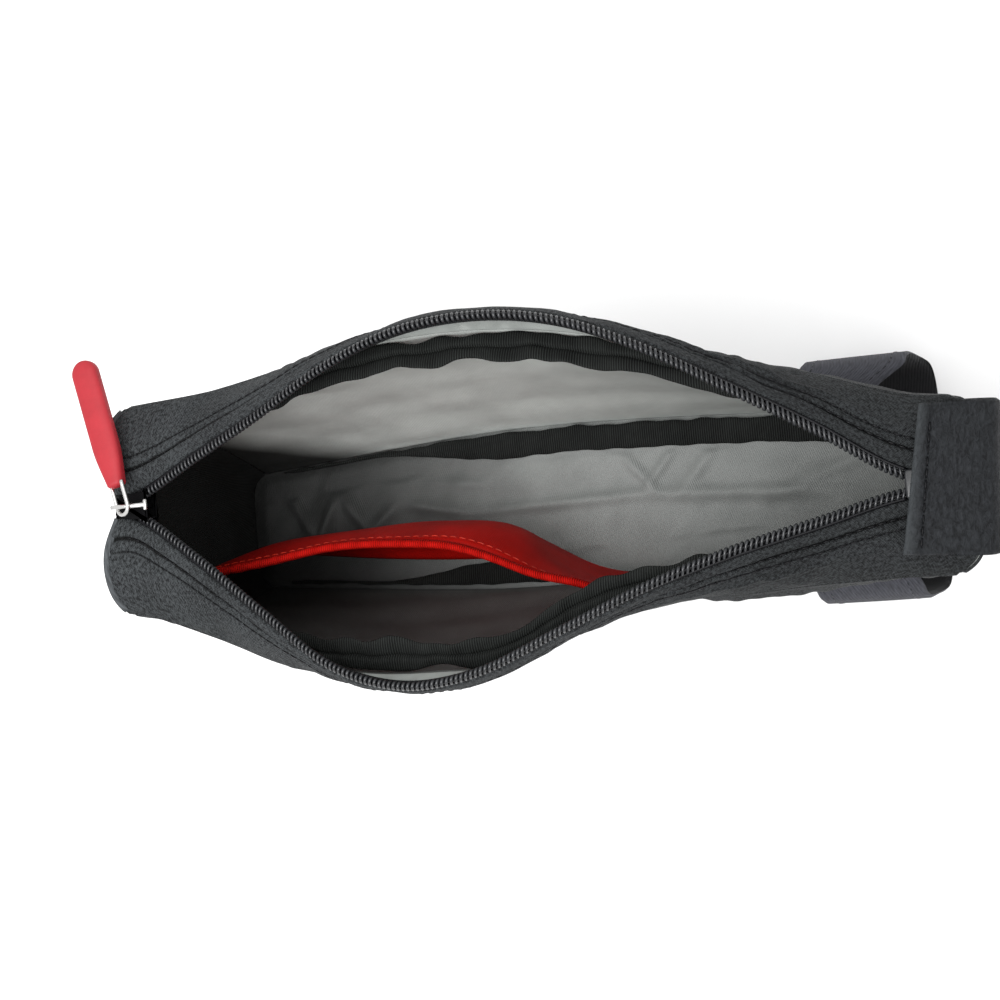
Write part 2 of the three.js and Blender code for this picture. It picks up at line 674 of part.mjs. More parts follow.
// Pull loop: a bent wire whose closed end goes round the bar
function pullLoop() {
  const straight = LOOP_LENGTH - LOOP_HALF_WIDTH;
  const bend = [];
  for (let k = 0; k <= 8; k += 1) {
    const angle = Math.PI + Math.PI * k / 8;
    bend.push(new THREE.Vector2(
      LOOP_HALF_WIDTH * Math.cos(angle),
      LOOP_HALF_WIDTH * LOOP_BEND * Math.sin(angle),
    ));
  }
  const flat = [new THREE.Vector2(-LOOP_HALF_WIDTH, straight), ...bend,
    new THREE.Vector2(LOOP_HALF_WIDTH, straight)];
  const points = flat.map((p) => new THREE.Vector3(
    p.x * Math.cos(LOOP_TILT), p.y + LOOP_SLACK, p.x * Math.sin(LOOP_TILT),
  ));
  const path = new THREE.CatmullRomCurve3(points, false, 'centripetal');
  const wire = new THREE.Shape();
  wire.absarc(0, 0, LOOP_WIRE, 0, 2 * Math.PI);
  return new THREE.ExtrudeGeometry(wire, {
    steps: 22, curveSegments: 4, bevelEnabled: false, extrudePath: path,
  });
}

// Pull grip: a long rounded tag of rubber
function pullGrip() {
  const outline = new THREE.Shape();
  const start = LOOP_LENGTH - LOOP_HALF_WIDTH + GRIP_GAP;
  const end = start + GRIP_LENGTH;
  const neck = GRIP_HALF_WIDTH * GRIP_NECK;
  const shoulder = start + GRIP_SHOULDER;
  const full = start + GRIP_TAPER;
  outline.moveTo(-neck, start);
  outline.quadraticCurveTo(-GRIP_HALF_WIDTH, shoulder, -GRIP_HALF_WIDTH, full);
  outline.lineTo(-GRIP_HALF_WIDTH, end - GRIP_HALF_WIDTH);
  outline.absarc(0, end - GRIP_HALF_WIDTH, GRIP_HALF_WIDTH, Math.PI, 0, true);
  outline.lineTo(GRIP_HALF_WIDTH, full);
  outline.quadraticCurveTo(GRIP_HALF_WIDTH, shoulder, neck, start);
  outline.closePath();
  const grip = new THREE.ExtrudeGeometry(outline, {
    depth: GRIP_THICKNESS - 2 * GRIP_BEVEL,
    bevelThickness: GRIP_BEVEL,
    bevelSize: GRIP_BEVEL,
    bevelOffset: -GRIP_BEVEL,
    bevelSegments: 2,
    curveSegments: 8,
  });
  return grip.translate(0, 0, GRIP_BEVEL - GRIP_THICKNESS / 2);
}

// The pull's pieces share one place: the bar's axis, turned to how the pull lies at rest
function placeOnBar(mesh) {
  mesh.position.set(ZIP_FRONT_X, MOUTH_FRONT_Y, ZIP_HEIGHT + BAR_AXIS);
  mesh.rotation.set(-PULL_DROOP, 0, PULL_YAW, 'XYZ');
}

// Rear stop: a plain block that joins the coils' rear ends
function zipStop() {
  const stop = new THREE.BoxGeometry(STOP_LENGTH, STOP_WIDTH, STOP_HEIGHT);
  const centre = bagPoint(ZIP_FRONT_X + ZIP_LENGTH * STOP_AT, 0, ZIP_HEIGHT);
  return stop.translate(centre.x, centre.y, centre.z);
}

Object.keys(SIDES).forEach((side) => {
  addPiece(`side_panel_${side}`, sidePanel(side), 'outerCloth');
  addPiece(`top_gusset_${side}`, topGusset(side), 'outerCloth');
  addPiece(`zip_tape_${side}`, zipTape(side), 'webbing');
  addPiece(`zip_coil_${side}`, zipCoil(side), 'coil');
  addPiece(`top_binding_${side}`, topBinding(side), 'webbing');
  addPiece(`base_binding_${side}`, baseBinding(side), 'webbing');
});
addPiece('front_panel', endPanel(frontX, -1), 'outerCloth');
addPiece('rear_panel', endPanel(rearX, 1), 'outerCloth');
addPiece('bottom_panel', bottomPanel(), 'outerCloth');
addPiece('zip_stop', zipStop(), 'coil');
addPiece('pocket_panel', pocketPanel(), 'pocketCloth');
addPiece('pocket_binding', pocketBinding(), 'pocketCloth');
addPiece('rear_tab', rearTab(), 'brushedCloth');
addPiece('rear_strap', strap(REAR_STRAP_X, REAR_STRAP_LEAD), 'webbing');
addPiece('front_strap', strap(FRONT_STRAP_X, FRONT_STRAP_LEAD), 'webbing');

const slider = addPiece('slider_body', sliderBody(), 'nickel');
slider.position.set(ZIP_FRONT_X, MOUTH_FRONT_Y, ZIP_HEIGHT);
placeOnBar(addPiece('pull_loop', pullLoop(), 'nickel'));
placeOnBar(addPiece('pull_grip', pullGrip(), 'rubber'));

export default bag;
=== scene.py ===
"""Frame bag with its zip open, dressed over its solid frame."""
import math

import bpy
import numpy as np
from mathutils import Matrix, Vector


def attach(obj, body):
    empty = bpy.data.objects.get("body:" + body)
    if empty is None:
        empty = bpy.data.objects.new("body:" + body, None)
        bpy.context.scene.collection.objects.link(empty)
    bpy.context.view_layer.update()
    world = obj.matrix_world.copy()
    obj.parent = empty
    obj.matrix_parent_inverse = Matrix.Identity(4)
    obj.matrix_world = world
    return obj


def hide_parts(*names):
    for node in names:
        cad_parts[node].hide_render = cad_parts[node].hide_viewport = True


bl_info = {
    "name": "Frame bag",
    "version": (1, 0, 0),
    "blender": (4, 5, 0),
    "location": "View3D > Sidebar > Frame bag",
    "description": "Builds the cloth, zip, pocket and straps of a top-tube frame bag",
    "category": "Object",
}

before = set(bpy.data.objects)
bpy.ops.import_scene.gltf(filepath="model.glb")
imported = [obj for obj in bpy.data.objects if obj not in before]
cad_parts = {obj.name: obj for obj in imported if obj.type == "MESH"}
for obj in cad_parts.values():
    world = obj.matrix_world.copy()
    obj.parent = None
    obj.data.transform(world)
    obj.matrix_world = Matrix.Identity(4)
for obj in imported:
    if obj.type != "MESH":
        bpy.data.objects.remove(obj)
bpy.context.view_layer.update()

MM = 0.001
RIGHT, LEFT = 1, -1
SIDE_NAMES = {RIGHT: "right", LEFT: "left"}

# The bag's frame, with X rearward, Y to the rider's right and Z up
ZIP_LENGTH = 199 * MM
ZIP_HEIGHT = 80 * MM
ZIP_FRONT_X = -98 * MM
MOUTH_FRONT_Y = 8 * MM
MOUTH_REAR_Y = -4 * MM
MOUTH_YAW = math.atan2(MOUTH_FRONT_Y - MOUTH_REAR_Y, ZIP_LENGTH)
COIL_SPREAD = 46 * MM
COIL_LIFT = {RIGHT: 15 * MM, LEFT: 12 * MM}
TAPE_WIDTH = 5.3 * MM
SEAM_SPREAD = 43 * MM
SEAM_HEIGHT = 73 * MM
SEAM_END_RISE = 3 * MM
BASE_HALF_WIDTH = 24 * MM
BASE_MIDDLE_Z = 0.8 * MM
WALL_BULGE = {RIGHT: 3 * MM, LEFT: 7 * MM}
GUSSET_BULGE = 2.4 * MM
TOP_FRONT_X = -103 * MM
TOP_REAR_X = 112 * MM
BASE_FRONT_X = -98 * MM
BASE_REAR_X = 106 * MM
END_ROUND = 5 * MM
END_SQUARENESS = 7
MOUTH_BUMP_POWER = 1.2
FRONT_DIP = 0.85
FRONT_DIP_REACH = 0.3
FRONT_DIP_FOOT = 45 * MM
FRONT_DIP_RISE = 30 * MM

# Slip pocket
POCKET_FRONT_REACH = 2.5 * MM
POCKET_REAR_X = 26 * MM
POCKET_FOOT_Z = 7 * MM
POCKET_MOUTH_Z = 60 * MM
POCKET_DEPTH = 32 * MM
POCKET_WALL_GAP = 2 * MM
POCKET_FOOT_INSET = (11 * MM, 1 * MM)
POCKET_THREAD = 0.15 * MM

# Rear tab and straps
TAB_HALF_WIDTH = 17 * MM
TAB_START_X = 101.5 * MM
TAB_CLEARANCE = 1.9 * MM
TAB_SKEW = 0.12
TAB_OFFSET = 1.2 * MM
TAB_FOOT_Z = 10 * MM
TAB_HEM = 3.3 * MM
STRAP_WIDTH = 30 * MM
STRAP_HALF_SPAN = 36 * MM
STRAP_DROP = 62 * MM
STRAP_SLANT = 8 * MM
STRAP_END = 0.47
STRAP_SQUARENESS = 0.4
STRAP_LEAD_SPAN = 0.27
STRAP_GAP = 0.05 * MM
STRAP_SAMPLES = 4001
STRAP_SEAM = 4
STRAP_THREAD = 0.13 * MM
REAR_STRAP_X = 92 * MM
REAR_STRAP_LEAD = {RIGHT: 13 * MM, LEFT: 4 * MM}
FRONT_STRAP_X = -70 * MM
FRONT_STRAP_LEAD = {RIGHT: 0, LEFT: 0}

# Slider and pull
SLIDER_LENGTH = 11 * MM
SLIDER_HALF_WIDTH = 4.6 * MM
SLIDER_PLATE = 1.1 * MM
SLIDER_GAP = 3.8 * MM
BAR_RADIUS = 0.8 * MM
BAR_HEIGHT = 3.8 * MM
BAR_AXIS = SLIDER_GAP / 2 + SLIDER_PLATE + BAR_HEIGHT
BAR_LENGTH = 11.4 * MM
BAR_END_SPAN = 3.4 * MM
LOOP_WIRE = 0.56 * MM
LOOP_HALF_WIDTH = 2.45 * MM
LOOP_LENGTH = 7.4 * MM
LOOP_TILT = math.radians(26)
GRIP_LENGTH = 36 * MM
GRIP_HALF_WIDTH = 3.8 * MM
GRIP_THICKNESS = 3.8 * MM
SLIDER_PLACE = np.array([ZIP_FRONT_X, MOUTH_FRONT_Y, ZIP_HEIGHT])
SLIDER_NECK = 0.62
# Height above the gap and inset of each level of a slider plate, in millimetres
PLATE_LEVELS = ((0, 0.35), (0.15, 0.08), (0.35, 0), (0.75, 0), (0.95, 0.1), (1.1, 0.4))
PLATE_INSET = 0.9 * MM
RAIL_INSET = 1.35 * MM
RAIL_RADIUS = 0.42 * MM
POST_RADIUS = 0.7 * MM
BAR_FEET_X = (-2.2 * MM, SLIDER_LENGTH / 2 - BAR_RADIUS - 1 * MM)
BAR_END_RADIUS = 0.52 * MM
PULL_YAW = math.radians(15)
PULL_DROOP = math.radians(4)

# Shares of the zip's length, of COIL_SPREAD, SEAM_SPREAD, BASE_HALF_WIDTH and WALL_BULGE
SECTION_COLUMNS = ("at", "coil_right", "coil_left", "seam_right", "seam_left", "base", "bulge")
SECTIONS = (
    (-0.04, 0.05, 0.05, 0.62, 0.67, 0.73, 0.6),
    (0.0, 0.05, 0.05, 0.64, 0.66, 0.76, 0.61),
    (0.1, 0.26, 0.32, 0.7, 0.8, 0.83, 0.65),
    (0.2, 0.465, 0.62, 0.805, 0.97, 0.9, 0.68),
    (0.3, 0.695, 0.9, 0.93, 1.04, 0.96, 0.71),
    (0.4, 0.86, 1.0, 0.985, 1.035, 1.0, 0.73),
    (0.5, 0.92, 0.915, 0.99, 0.98, 1.0, 0.74),
    (0.6, 0.88, 0.7, 0.94, 0.74, 0.98, 0.52),
    (0.7, 0.73, 0.485, 0.84, 0.6, 0.94, 0.47),
    (0.8, 0.515, 0.315, 0.715, 0.57, 0.89, 0.5),
    (0.9, 0.29, 0.18, 0.59, 0.52, 0.84, 0.44),
    (1.0, 0.05, 0.05, 0.46, 0.485, 0.8, 0.3),
    (1.08, 0.05, 0.05, 0.44, 0.475, 0.78, 0.25),
)

# Shares of the pocket's length, of POCKET_DEPTH twice, and of its height
POCKET_COLUMNS = ("at", "belly", "mouth", "sink")
POCKET_SECTIONS = (
    (0.0, 0.2, 0.2, 0.06),
    (0.2, 0.7, 0.55, 0.0),
    (0.4, 0.95, 0.96, 0.0),
    (0.6, 1.06, 1.03, 0.02),
    (0.75, 0.95, 0.86, 0.04),
    (0.9, 0.3, 0.42, 0.08),
    (1.0, 0.04, 0.06, 0.12),
)


# Form of the bag

def mix(start, end, share):
    """Value between start and end at a share"""
    return start + (end - start) * share


def smooth_step(share):
    """Eases a share in and out"""
    t = np.clip(share, 0, 1)
    return t * t * (3 - 2 * t)


def bell(distance, width):
    """1 at no distance, that fades to nothing within two widths"""
    return np.exp(-((distance / width) ** 2))


def squared(value, power):
    """Draws a sine or cosine towards a square wave"""
    return np.sign(value) * np.abs(value) ** power


def lengths_along(points):
    """Length of a line of points up to each of them"""
    return np.concatenate([[0], np.cumsum(np.linalg.norm(np.diff(points, axis=0), axis=1))])


def column_value(columns, table, column, at):
    """Smooth value of one column between the rows of a table"""
    rows = np.array(table)
    stations = rows[:, 0]
    values = rows[:, columns.index(column)]
    slopes = np.gradient(values)
    slopes[1:-1] = (values[2:] - values[:-2]) / (stations[2:] - stations[:-2])
    slopes[0] = (values[1] - values[0]) / (stations[1] - stations[0])
    slopes[-1] = (values[-1] - values[-2]) / (stations[-1] - stations[-2])
    at = np.asarray(at, float)
    row = np.clip(np.searchsorted(stations, at, side="right") - 1, 0, len(stations) - 2)
    span = stations[row + 1] - stations[row]
    t = np.clip((at - stations[row]) / span, 0, 1)
    start = values[row] * (2 * t**3 - 3 * t**2 + 1) + slopes[row] * span * (t**3 - 2 * t**2 + t)
    end = values[row + 1] * (3 * t**2 - 2 * t**3) + slopes[row + 1] * span * (t**3 - t**2)
    return start + end


def section_value(column, at):
    return column_value(SECTION_COLUMNS, SECTIONS, column, at)


def pocket_value(column, at):
    return column_value(POCKET_COLUMNS, POCKET_SECTIONS, column, at)


def station_of(x):
    return (x - ZIP_FRONT_X) / ZIP_LENGTH


def station_x(at):
    return ZIP_FRONT_X + ZIP_LENGTH * at


def bag_point(x, across, z):
    """A point in the bag's twist, where the mouth is turned against the base"""
    blend = z / ZIP_HEIGHT
    yaw = MOUTH_YAW * blend
    middle = mix(MOUTH_FRONT_Y, MOUTH_REAR_Y, station_of(x)) * blend
    return np.stack(
        np.broadcast_arrays(x + across * np.sin(yaw), middle + across * np.cos(yaw), z),
        axis=-1,
    )


def end_round(share):
    return END_ROUND * (1 - np.abs(share) ** END_SQUARENESS)


def front_dip(share, z):
    """How far the front end's rim is drawn back beside the slider"""
    near_top = smooth_step((z - FRONT_DIP_FOOT) / FRONT_DIP_RISE)
    return END_ROUND * FRONT_DIP * bell(share, FRONT_DIP_REACH) * near_top


def middle_bump(at):
    return np.sin(np.pi * np.clip(at, 0, 1)) ** MOUTH_BUMP_POWER


def coil_across(side, at):
    return COIL_SPREAD * section_value(f"coil_{SIDE_NAMES[side]}", at)


def coil_height(side, at):
    return ZIP_HEIGHT + COIL_LIFT[side] * middle_bump(at)


def seam_across(side, at):
    return SEAM_SPREAD * section_value(f"seam_{SIDE_NAMES[side]}", at)


def seam_height(at):
    return SEAM_HEIGHT + SEAM_END_RISE * (1 - middle_bump(at))


def base_across(at):
    return BASE_HALF_WIDTH * section_value("base", at)


def wall_section(side, at, share):
    """Across and height of a side wall, from the base seam at 0 to the top seam at 1"""
    bulge = WALL_BULGE[side] * section_value("bulge", at) * 4 * share * (1 - share)
    across = mix(base_across(at), seam_across(side, at), share) + bulge
    return across, mix(BASE_MIDDLE_Z, seam_height(at), share)


def gusset_run(side, at):
    """Straight width from the top seam to the coil"""
    return np.hypot(
        coil_across(side, at) - seam_across(side, at), coil_height(side, at) - seam_height(at)
    )


def gusset_section(side, at, share):
    """Across and height of the top gusset, from the top seam at 0 to the coil at 1"""
    from_across, from_z = seam_across(side, at), seam_height(at)
    to_across, to_z = coil_across(side, at), coil_height(side, at)
    bulge = GUSSET_BULGE * 4 * share * (1 - share) / gusset_run(side, at)
    across = mix(from_across, to_across, share) + bulge * (to_z - from_z)
    return across, mix(from_z, to_z, share) - bulge * (to_across - from_across)


def front_x(z):
    return mix(BASE_FRONT_X, TOP_FRONT_X, z / ZIP_HEIGHT)


def rear_x(z):
    return mix(BASE_REAR_X, TOP_REAR_X, z / ZIP_HEIGHT)


def grid(columns, rows):
    """Two arrays of shares, one along the columns and one up the rows"""
    return np.meshgrid(np.linspace(0, 1, columns + 1), np.linspace(0, 1, rows + 1), indexing="ij")


def unit(vectors):
    return vectors / np.maximum(np.linalg.norm(vectors, axis=-1, keepdims=True), 1e-12)


def grid_normals(points, away_from):
    """Normals of a grid of points, turned away from a point or an array of points"""
    along = np.gradient(points, axis=0)
    up = np.gradient(points, axis=1)
    normals = unit(np.cross(along, up))
    facing = np.sum(normals * (points - away_from), axis=-1).mean()
    return normals if facing > 0 else -normals


def bag_core(points):
    """Points on the bag's middle line, that its walls face away from"""
    core = points.copy()
    core[..., 1] = 0
    core[..., 2] = ZIP_HEIGHT / 2
    return core


WAVES = 9
WAVE_SPREAD = (0.6, 1.5)


def undulation(points, wavelength, seed):
    """Soft noise from a few sine waves in fixed directions, mostly between -1 and 1"""
    chance = np.random.default_rng(seed)
    directions = unit(chance.normal(size=(WAVES, 3)))
    pitches = 2 * np.pi / (wavelength * chance.uniform(*WAVE_SPREAD, WAVES))
    phases = chance.uniform(0, 2 * np.pi, WAVES)
    total = np.zeros(points.shape[:-1])
    for direction, pitch, phase in zip(directions, pitches, phases):
        total += np.sin(points @ direction * pitch + phase)
    return total / math.sqrt(WAVES * 2)


def crease(points, start, end, width, depth):
    """A soft ridge along the line from start to end, that fades at both its ends"""
    start, end = np.array(start), np.array(end)
    line = end - start
    t = np.clip((points - start) @ line / (line @ line), 0, 1)
    gap = np.linalg.norm(points - (start + t[..., None] * line), axis=-1)
    return depth * bell(gap, width) * np.sin(np.pi * np.clip(t, 0.02, 0.98)) ** 0.5


def creases(points, lines, width, depth):
    """Ridges of one width and depth along several lines"""
    return sum(crease(points, start, end, width, depth) for start, end in lines)


# Meshes

class Mesh:
    """Gathers vertices, faces and flat coordinates of one piece"""

    def __init__(self):
        self.vertices = []
        self.faces = []
        self.materials = []
        self.flat = []

    def add(self, vertices, faces, flat, material=0):
        start = len(self.vertices)
        self.vertices.extend(map(tuple, vertices))
        self.flat.extend(map(tuple, flat))
        self.faces.extend(tuple(start + i for i in face) for face in faces)
        self.materials.extend([material] * len(faces))

    def add_grid(self, points, flat, material=0, turned=False):
        """Adds a grid of points as quads and returns the index of its first vertex"""
        first = len(self.vertices)
        columns, rows = points.shape[0] - 1, points.shape[1] - 1
        index = np.arange((columns + 1) * (rows + 1)).reshape(columns + 1, rows + 1)
        quads = np.stack(
            [index[:-1, :-1], index[1:, :-1], index[1:, 1:], index[:-1, 1:]], axis=-1
        ).reshape(-1, 4)
        if turned:
            quads = quads[:, ::-1]
        self.add(points.reshape(-1, 3).tolist(), quads.tolist(), flat.reshape(-1, 2).tolist(), material)
        return first

    def add_tube(self, points, radius, sides=8):
        """Adds a round tube along a line of points, with one radius or one for each point"""
        points = np.asarray(points, float)
        count = len(points)
        tangents = unit(np.gradient(points, axis=0))
        side = np.cross(tangents[0], [0, 0, 1])
        if np.linalg.norm(side) < 0.1:
            side = np.cross(tangents[0], [0, 1, 0])
        carried = [unit(side)]
        for tangent in tangents[1:]:
            carried.append(unit(carried[-1] - tangent * (carried[-1] @ tangent)))
        first = np.array(carried)
        second = np.cross(tangents, first)
        radii = np.broadcast_to(radius, (count,))
        angles = np.linspace(0, 2 * np.pi, sides, endpoint=False)
        rings = (
            points[:, None]
            + first[:, None] * (np.cos(angles)[None, :, None] * radii[:, None, None])
            + second[:, None] * (np.sin(angles)[None, :, None] * radii[:, None, None])
        )
        flat = np.stack(
            np.broadcast_arrays(lengths_along(points)[:, None], (angles * radii.mean())[None, :]),
            axis=-1,
        )
        faces = ring_faces(count, sides)
        self.add(rings.reshape(-1, 3).tolist(), faces, flat.reshape(-1, 2).tolist())

    def build(self, name, finishes, body="bag", replaces=(), slot=None):
        """Makes the object, lets it ride on its body and hides the solids it stands for"""
        data = bpy.data.meshes.new(name)
        data.from_pydata(self.vertices, [], self.faces)
        layer = data.uv_layers.new(name="flat")
        corners = np.empty(len(data.loops), dtype=np.int32)
        data.loops.foreach_get("vertex_index", corners)
        layer.data.foreach_set("uv", np.array(self.flat)[corners].ravel())
        data.polygons.foreach_set("material_index", self.materials)
        data.polygons.foreach_set("use_smooth", [True] * len(data.polygons))
        for finish in finishes:
            data.materials.append(material_of(finish))
        data.validate()
        data.update()
        piece = bpy.data.objects.new(name, data)
        bpy.context.scene.collection.objects.link(piece)
        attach(piece, body)
        if replaces:
            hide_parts(*replaces)
        return piece


def lengths_of(points):
    """Flat coordinates of a grid of points, as lengths along its columns and up its rows"""
    along = np.linalg.norm(np.diff(points, axis=0), axis=-1).mean(axis=1)
    up = np.linalg.norm(np.diff(points, axis=1), axis=-1).mean(axis=0)
    columns = np.concatenate([[0], np.cumsum(along)])
    rows = np.concatenate([[0], np.cumsum(up)])
    return np.stack(np.meshgrid(columns, rows, indexing="ij"), axis=-1)


def edge_distance(flat, sides=(True, True, True, True)):
    """Distance of each grid point from the chosen edges: start, end, lower and upper"""
    along, up = flat[..., 0], flat[..., 1]
    far = np.full(along.shape, 1.0)
    gaps = (along, along.max() - along, up, up.max() - up)
    for used, gap in zip(sides, gaps):
        if used:
            far = np.minimum(far, gap)
    return far


def rounded(distance, radius):
    """Share of the full thickness near a rounded edge"""
    t = np.clip(distance / radius, 0, 1)
    return np.sqrt(np.maximum(1 - (1 - t) ** 2, 0.0004))


def add_cloth(mesh, points, normals, thickness, edge_radius, materials=(0, 1), relief=0.0,
              from_top=False):
    """Adds a sheet with an outer and an inner face and rounded edges"""
    flat = lengths_of(points)
    half = thickness / 2 * rounded(edge_distance(flat), edge_radius)
    outer = points + normals * (half + relief)[..., None]
    inner = points - normals * half[..., None]
    turned = np.sum(np.cross(points[1, 0] - points[0, 0], points[0, 1] - points[0, 0])
                    * normals[0, 0]) < 0
    if from_top:
        flat[..., 1] -= flat[..., 1].max()
    first = mesh.add_grid(outer, flat, materials[0], turned)
    second = mesh.add_grid(inner, flat, materials[1], not turned)
    columns, rows = points.shape[0], points.shape[1]
    index = np.arange(columns * rows).reshape(columns, rows)
    rim = np.concatenate([index[:, 0], index[-1, 1:], index[-2::-1, -1], index[0, -2:0:-1]])
    after = np.roll(rim, -1)
    faces = [
        (first + a, first + b, second + b, second + a) for a, b in zip(rim.tolist(), after.tolist())
    ]
    if not turned:
        faces = [face[::-1] for face in faces]
    mesh.faces.extend(faces)
    mesh.materials.extend([materials[0]] * len(faces))


# Lift of a stitch along its length, in radii of its thread
STITCH_ARCH = (-0.9, 0.35, 0.75, 0.75, 0.35, -0.9)


def add_stitches(mesh, points, normals, radius):
    """Adds a row of stitches along a line of points, each one a short arched thread"""
    lengths = lengths_along(points)
    pitch = sizes().stitch + sizes().stitch_gap
    for number in range(int(lengths[-1] / pitch)):
        start = number * pitch
        along = np.linspace(start, start + sizes().stitch, len(STITCH_ARCH))
        line = np.stack([np.interp(along, lengths, points[:, k]) for k in range(3)], axis=-1)
        lift = np.stack([np.interp(along, lengths, normals[:, k]) for k in range(3)], axis=-1)
        line = line + lift * (np.array(STITCH_ARCH) * radius)[:, None]
        mesh.add_tube(line, radius, sides=5)


def ring_faces(count, sides):
    """Faces of rings of points that are joined one to the next and closed at both ends"""
    faces = []
    for ring in range(count - 1):
        base, after = ring * sides, (ring + 1) * sides
        for k in range(sides):
            step = (k + 1) % sides
            faces.append((base + k, after + k, after + step, base + step))
    faces.append(tuple(range(sides)))
    faces.append(tuple((count - 1) * sides + k for k in reversed(range(sides))))
    return faces


def add_loft(mesh, rings):
    """Adds closed rings of points joined one to the next, with their ends closed"""
    rings = np.asarray(rings, float)
    lengths = np.linalg.norm(np.diff(rings, axis=0), axis=-1).mean(axis=1)
    along = np.concatenate([[0], np.cumsum(lengths)])
    around = np.linalg.norm(np.roll(rings, -1, axis=1) - rings, axis=-1).mean(axis=0)
    across = np.concatenate([[0], np.cumsum(around)[:-1]])
    flat = np.stack(np.meshgrid(along, across, indexing="ij"), axis=-1)
    faces = [face[:1] + face[:0:-1] for face in ring_faces(*rings.shape[:2])]
    corners = rings.reshape(-1, 3)[np.array(faces[0])]
    normal = np.cross(corners[1] - corners[0], corners[2] - corners[0])
    if normal @ (corners.mean(axis=0) - rings[0].mean(axis=0)) < 0:
        faces = [face[::-1] for face in faces]
    mesh.add(rings.reshape(-1, 3).tolist(), faces, flat.reshape(-1, 2).tolist())


def inset_outline(outline, inset):
    """Moves a closed outline of plane points inward by a distance"""
    before = np.roll(outline, 1, axis=0)
    after = np.roll(outline, -1, axis=0)
    tangent = unit(after - before)
    inward = np.stack([-tangent[:, 1], tangent[:, 0]], axis=-1)
    return outline + inward * inset


def slab(outline, levels, start=0.0):
    """Rings of a flat piece: each level is its height and its outline's inset, in millimetres"""
    return [
        np.column_stack(
            [inset_outline(outline, inset * MM), np.full(len(outline), start + height * MM)]
        )
        for height, inset in levels
    ]


def smooth_path(knots, count):
    """Points on a smooth curve through knots, eased by the root of the gaps between them"""
    knots = np.asarray(knots, float)
    ends = np.vstack([2 * knots[0] - knots[1], knots, 2 * knots[-1] - knots[-2]])
    spans = len(knots) - 1
    result = []
    for step in np.linspace(0, spans, count):
        index = min(int(step), spans - 1)
        t = step - index
        p0, p1, p2, p3 = ends[index:index + 4]
        d0, d1, d2 = (math.sqrt(np.linalg.norm(b - a)) for a, b in ((p0, p1), (p1, p2), (p2, p3)))
        m1 = ((p1 - p0) / d0 - (p2 - p0) / (d0 + d1) + (p2 - p1) / d1) * d1
        m2 = ((p2 - p1) / d1 - (p3 - p1) / (d1 + d2) + (p3 - p2) / d2) * d1
        a = 2 * p1 - 2 * p2 + m1 + m2
        b = -3 * p1 + 3 * p2 - 2 * m1 - m2
        result.append(((a * t + b) * t + m1) * t + p1)
    return np.array(result)


def rows_near(points, normals, distance, offset):
    """A line over a grid at a distance from its upper edge, lifted off the grid"""
    flat = lengths_of(points)
    up = flat[0, :, 1]
    target = up[-1] - distance
    row = int(np.clip(np.searchsorted(up, target) - 1, 0, len(up) - 2))
    t = (target - up[row]) / (up[row + 1] - up[row])
    line = mix(points[:, row], points[:, row + 1], t)
    lift = unit(mix(normals[:, row], normals[:, row + 1], t))
    return line + lift * offset, lift


# Materials

class Field:
    """A socket of a material's nodes that can be used in sums and products"""

    def __init__(self, finish, socket):
        self.finish = finish
        self.socket = socket

    def _join(self, operation, first, second):
        return self.finish.node("ShaderNodeMath", {0: first, 1: second}, operation=operation)

    def __add__(self, other):
        return self._join("ADD", self, other)

    __radd__ = __add__

    def __sub__(self, other):
        return self._join("SUBTRACT", self, other)

    def __rsub__(self, other):
        return self._join("SUBTRACT", other, self)

    def __mul__(self, other):
        return self._join("MULTIPLY", self, other)

    __rmul__ = __mul__


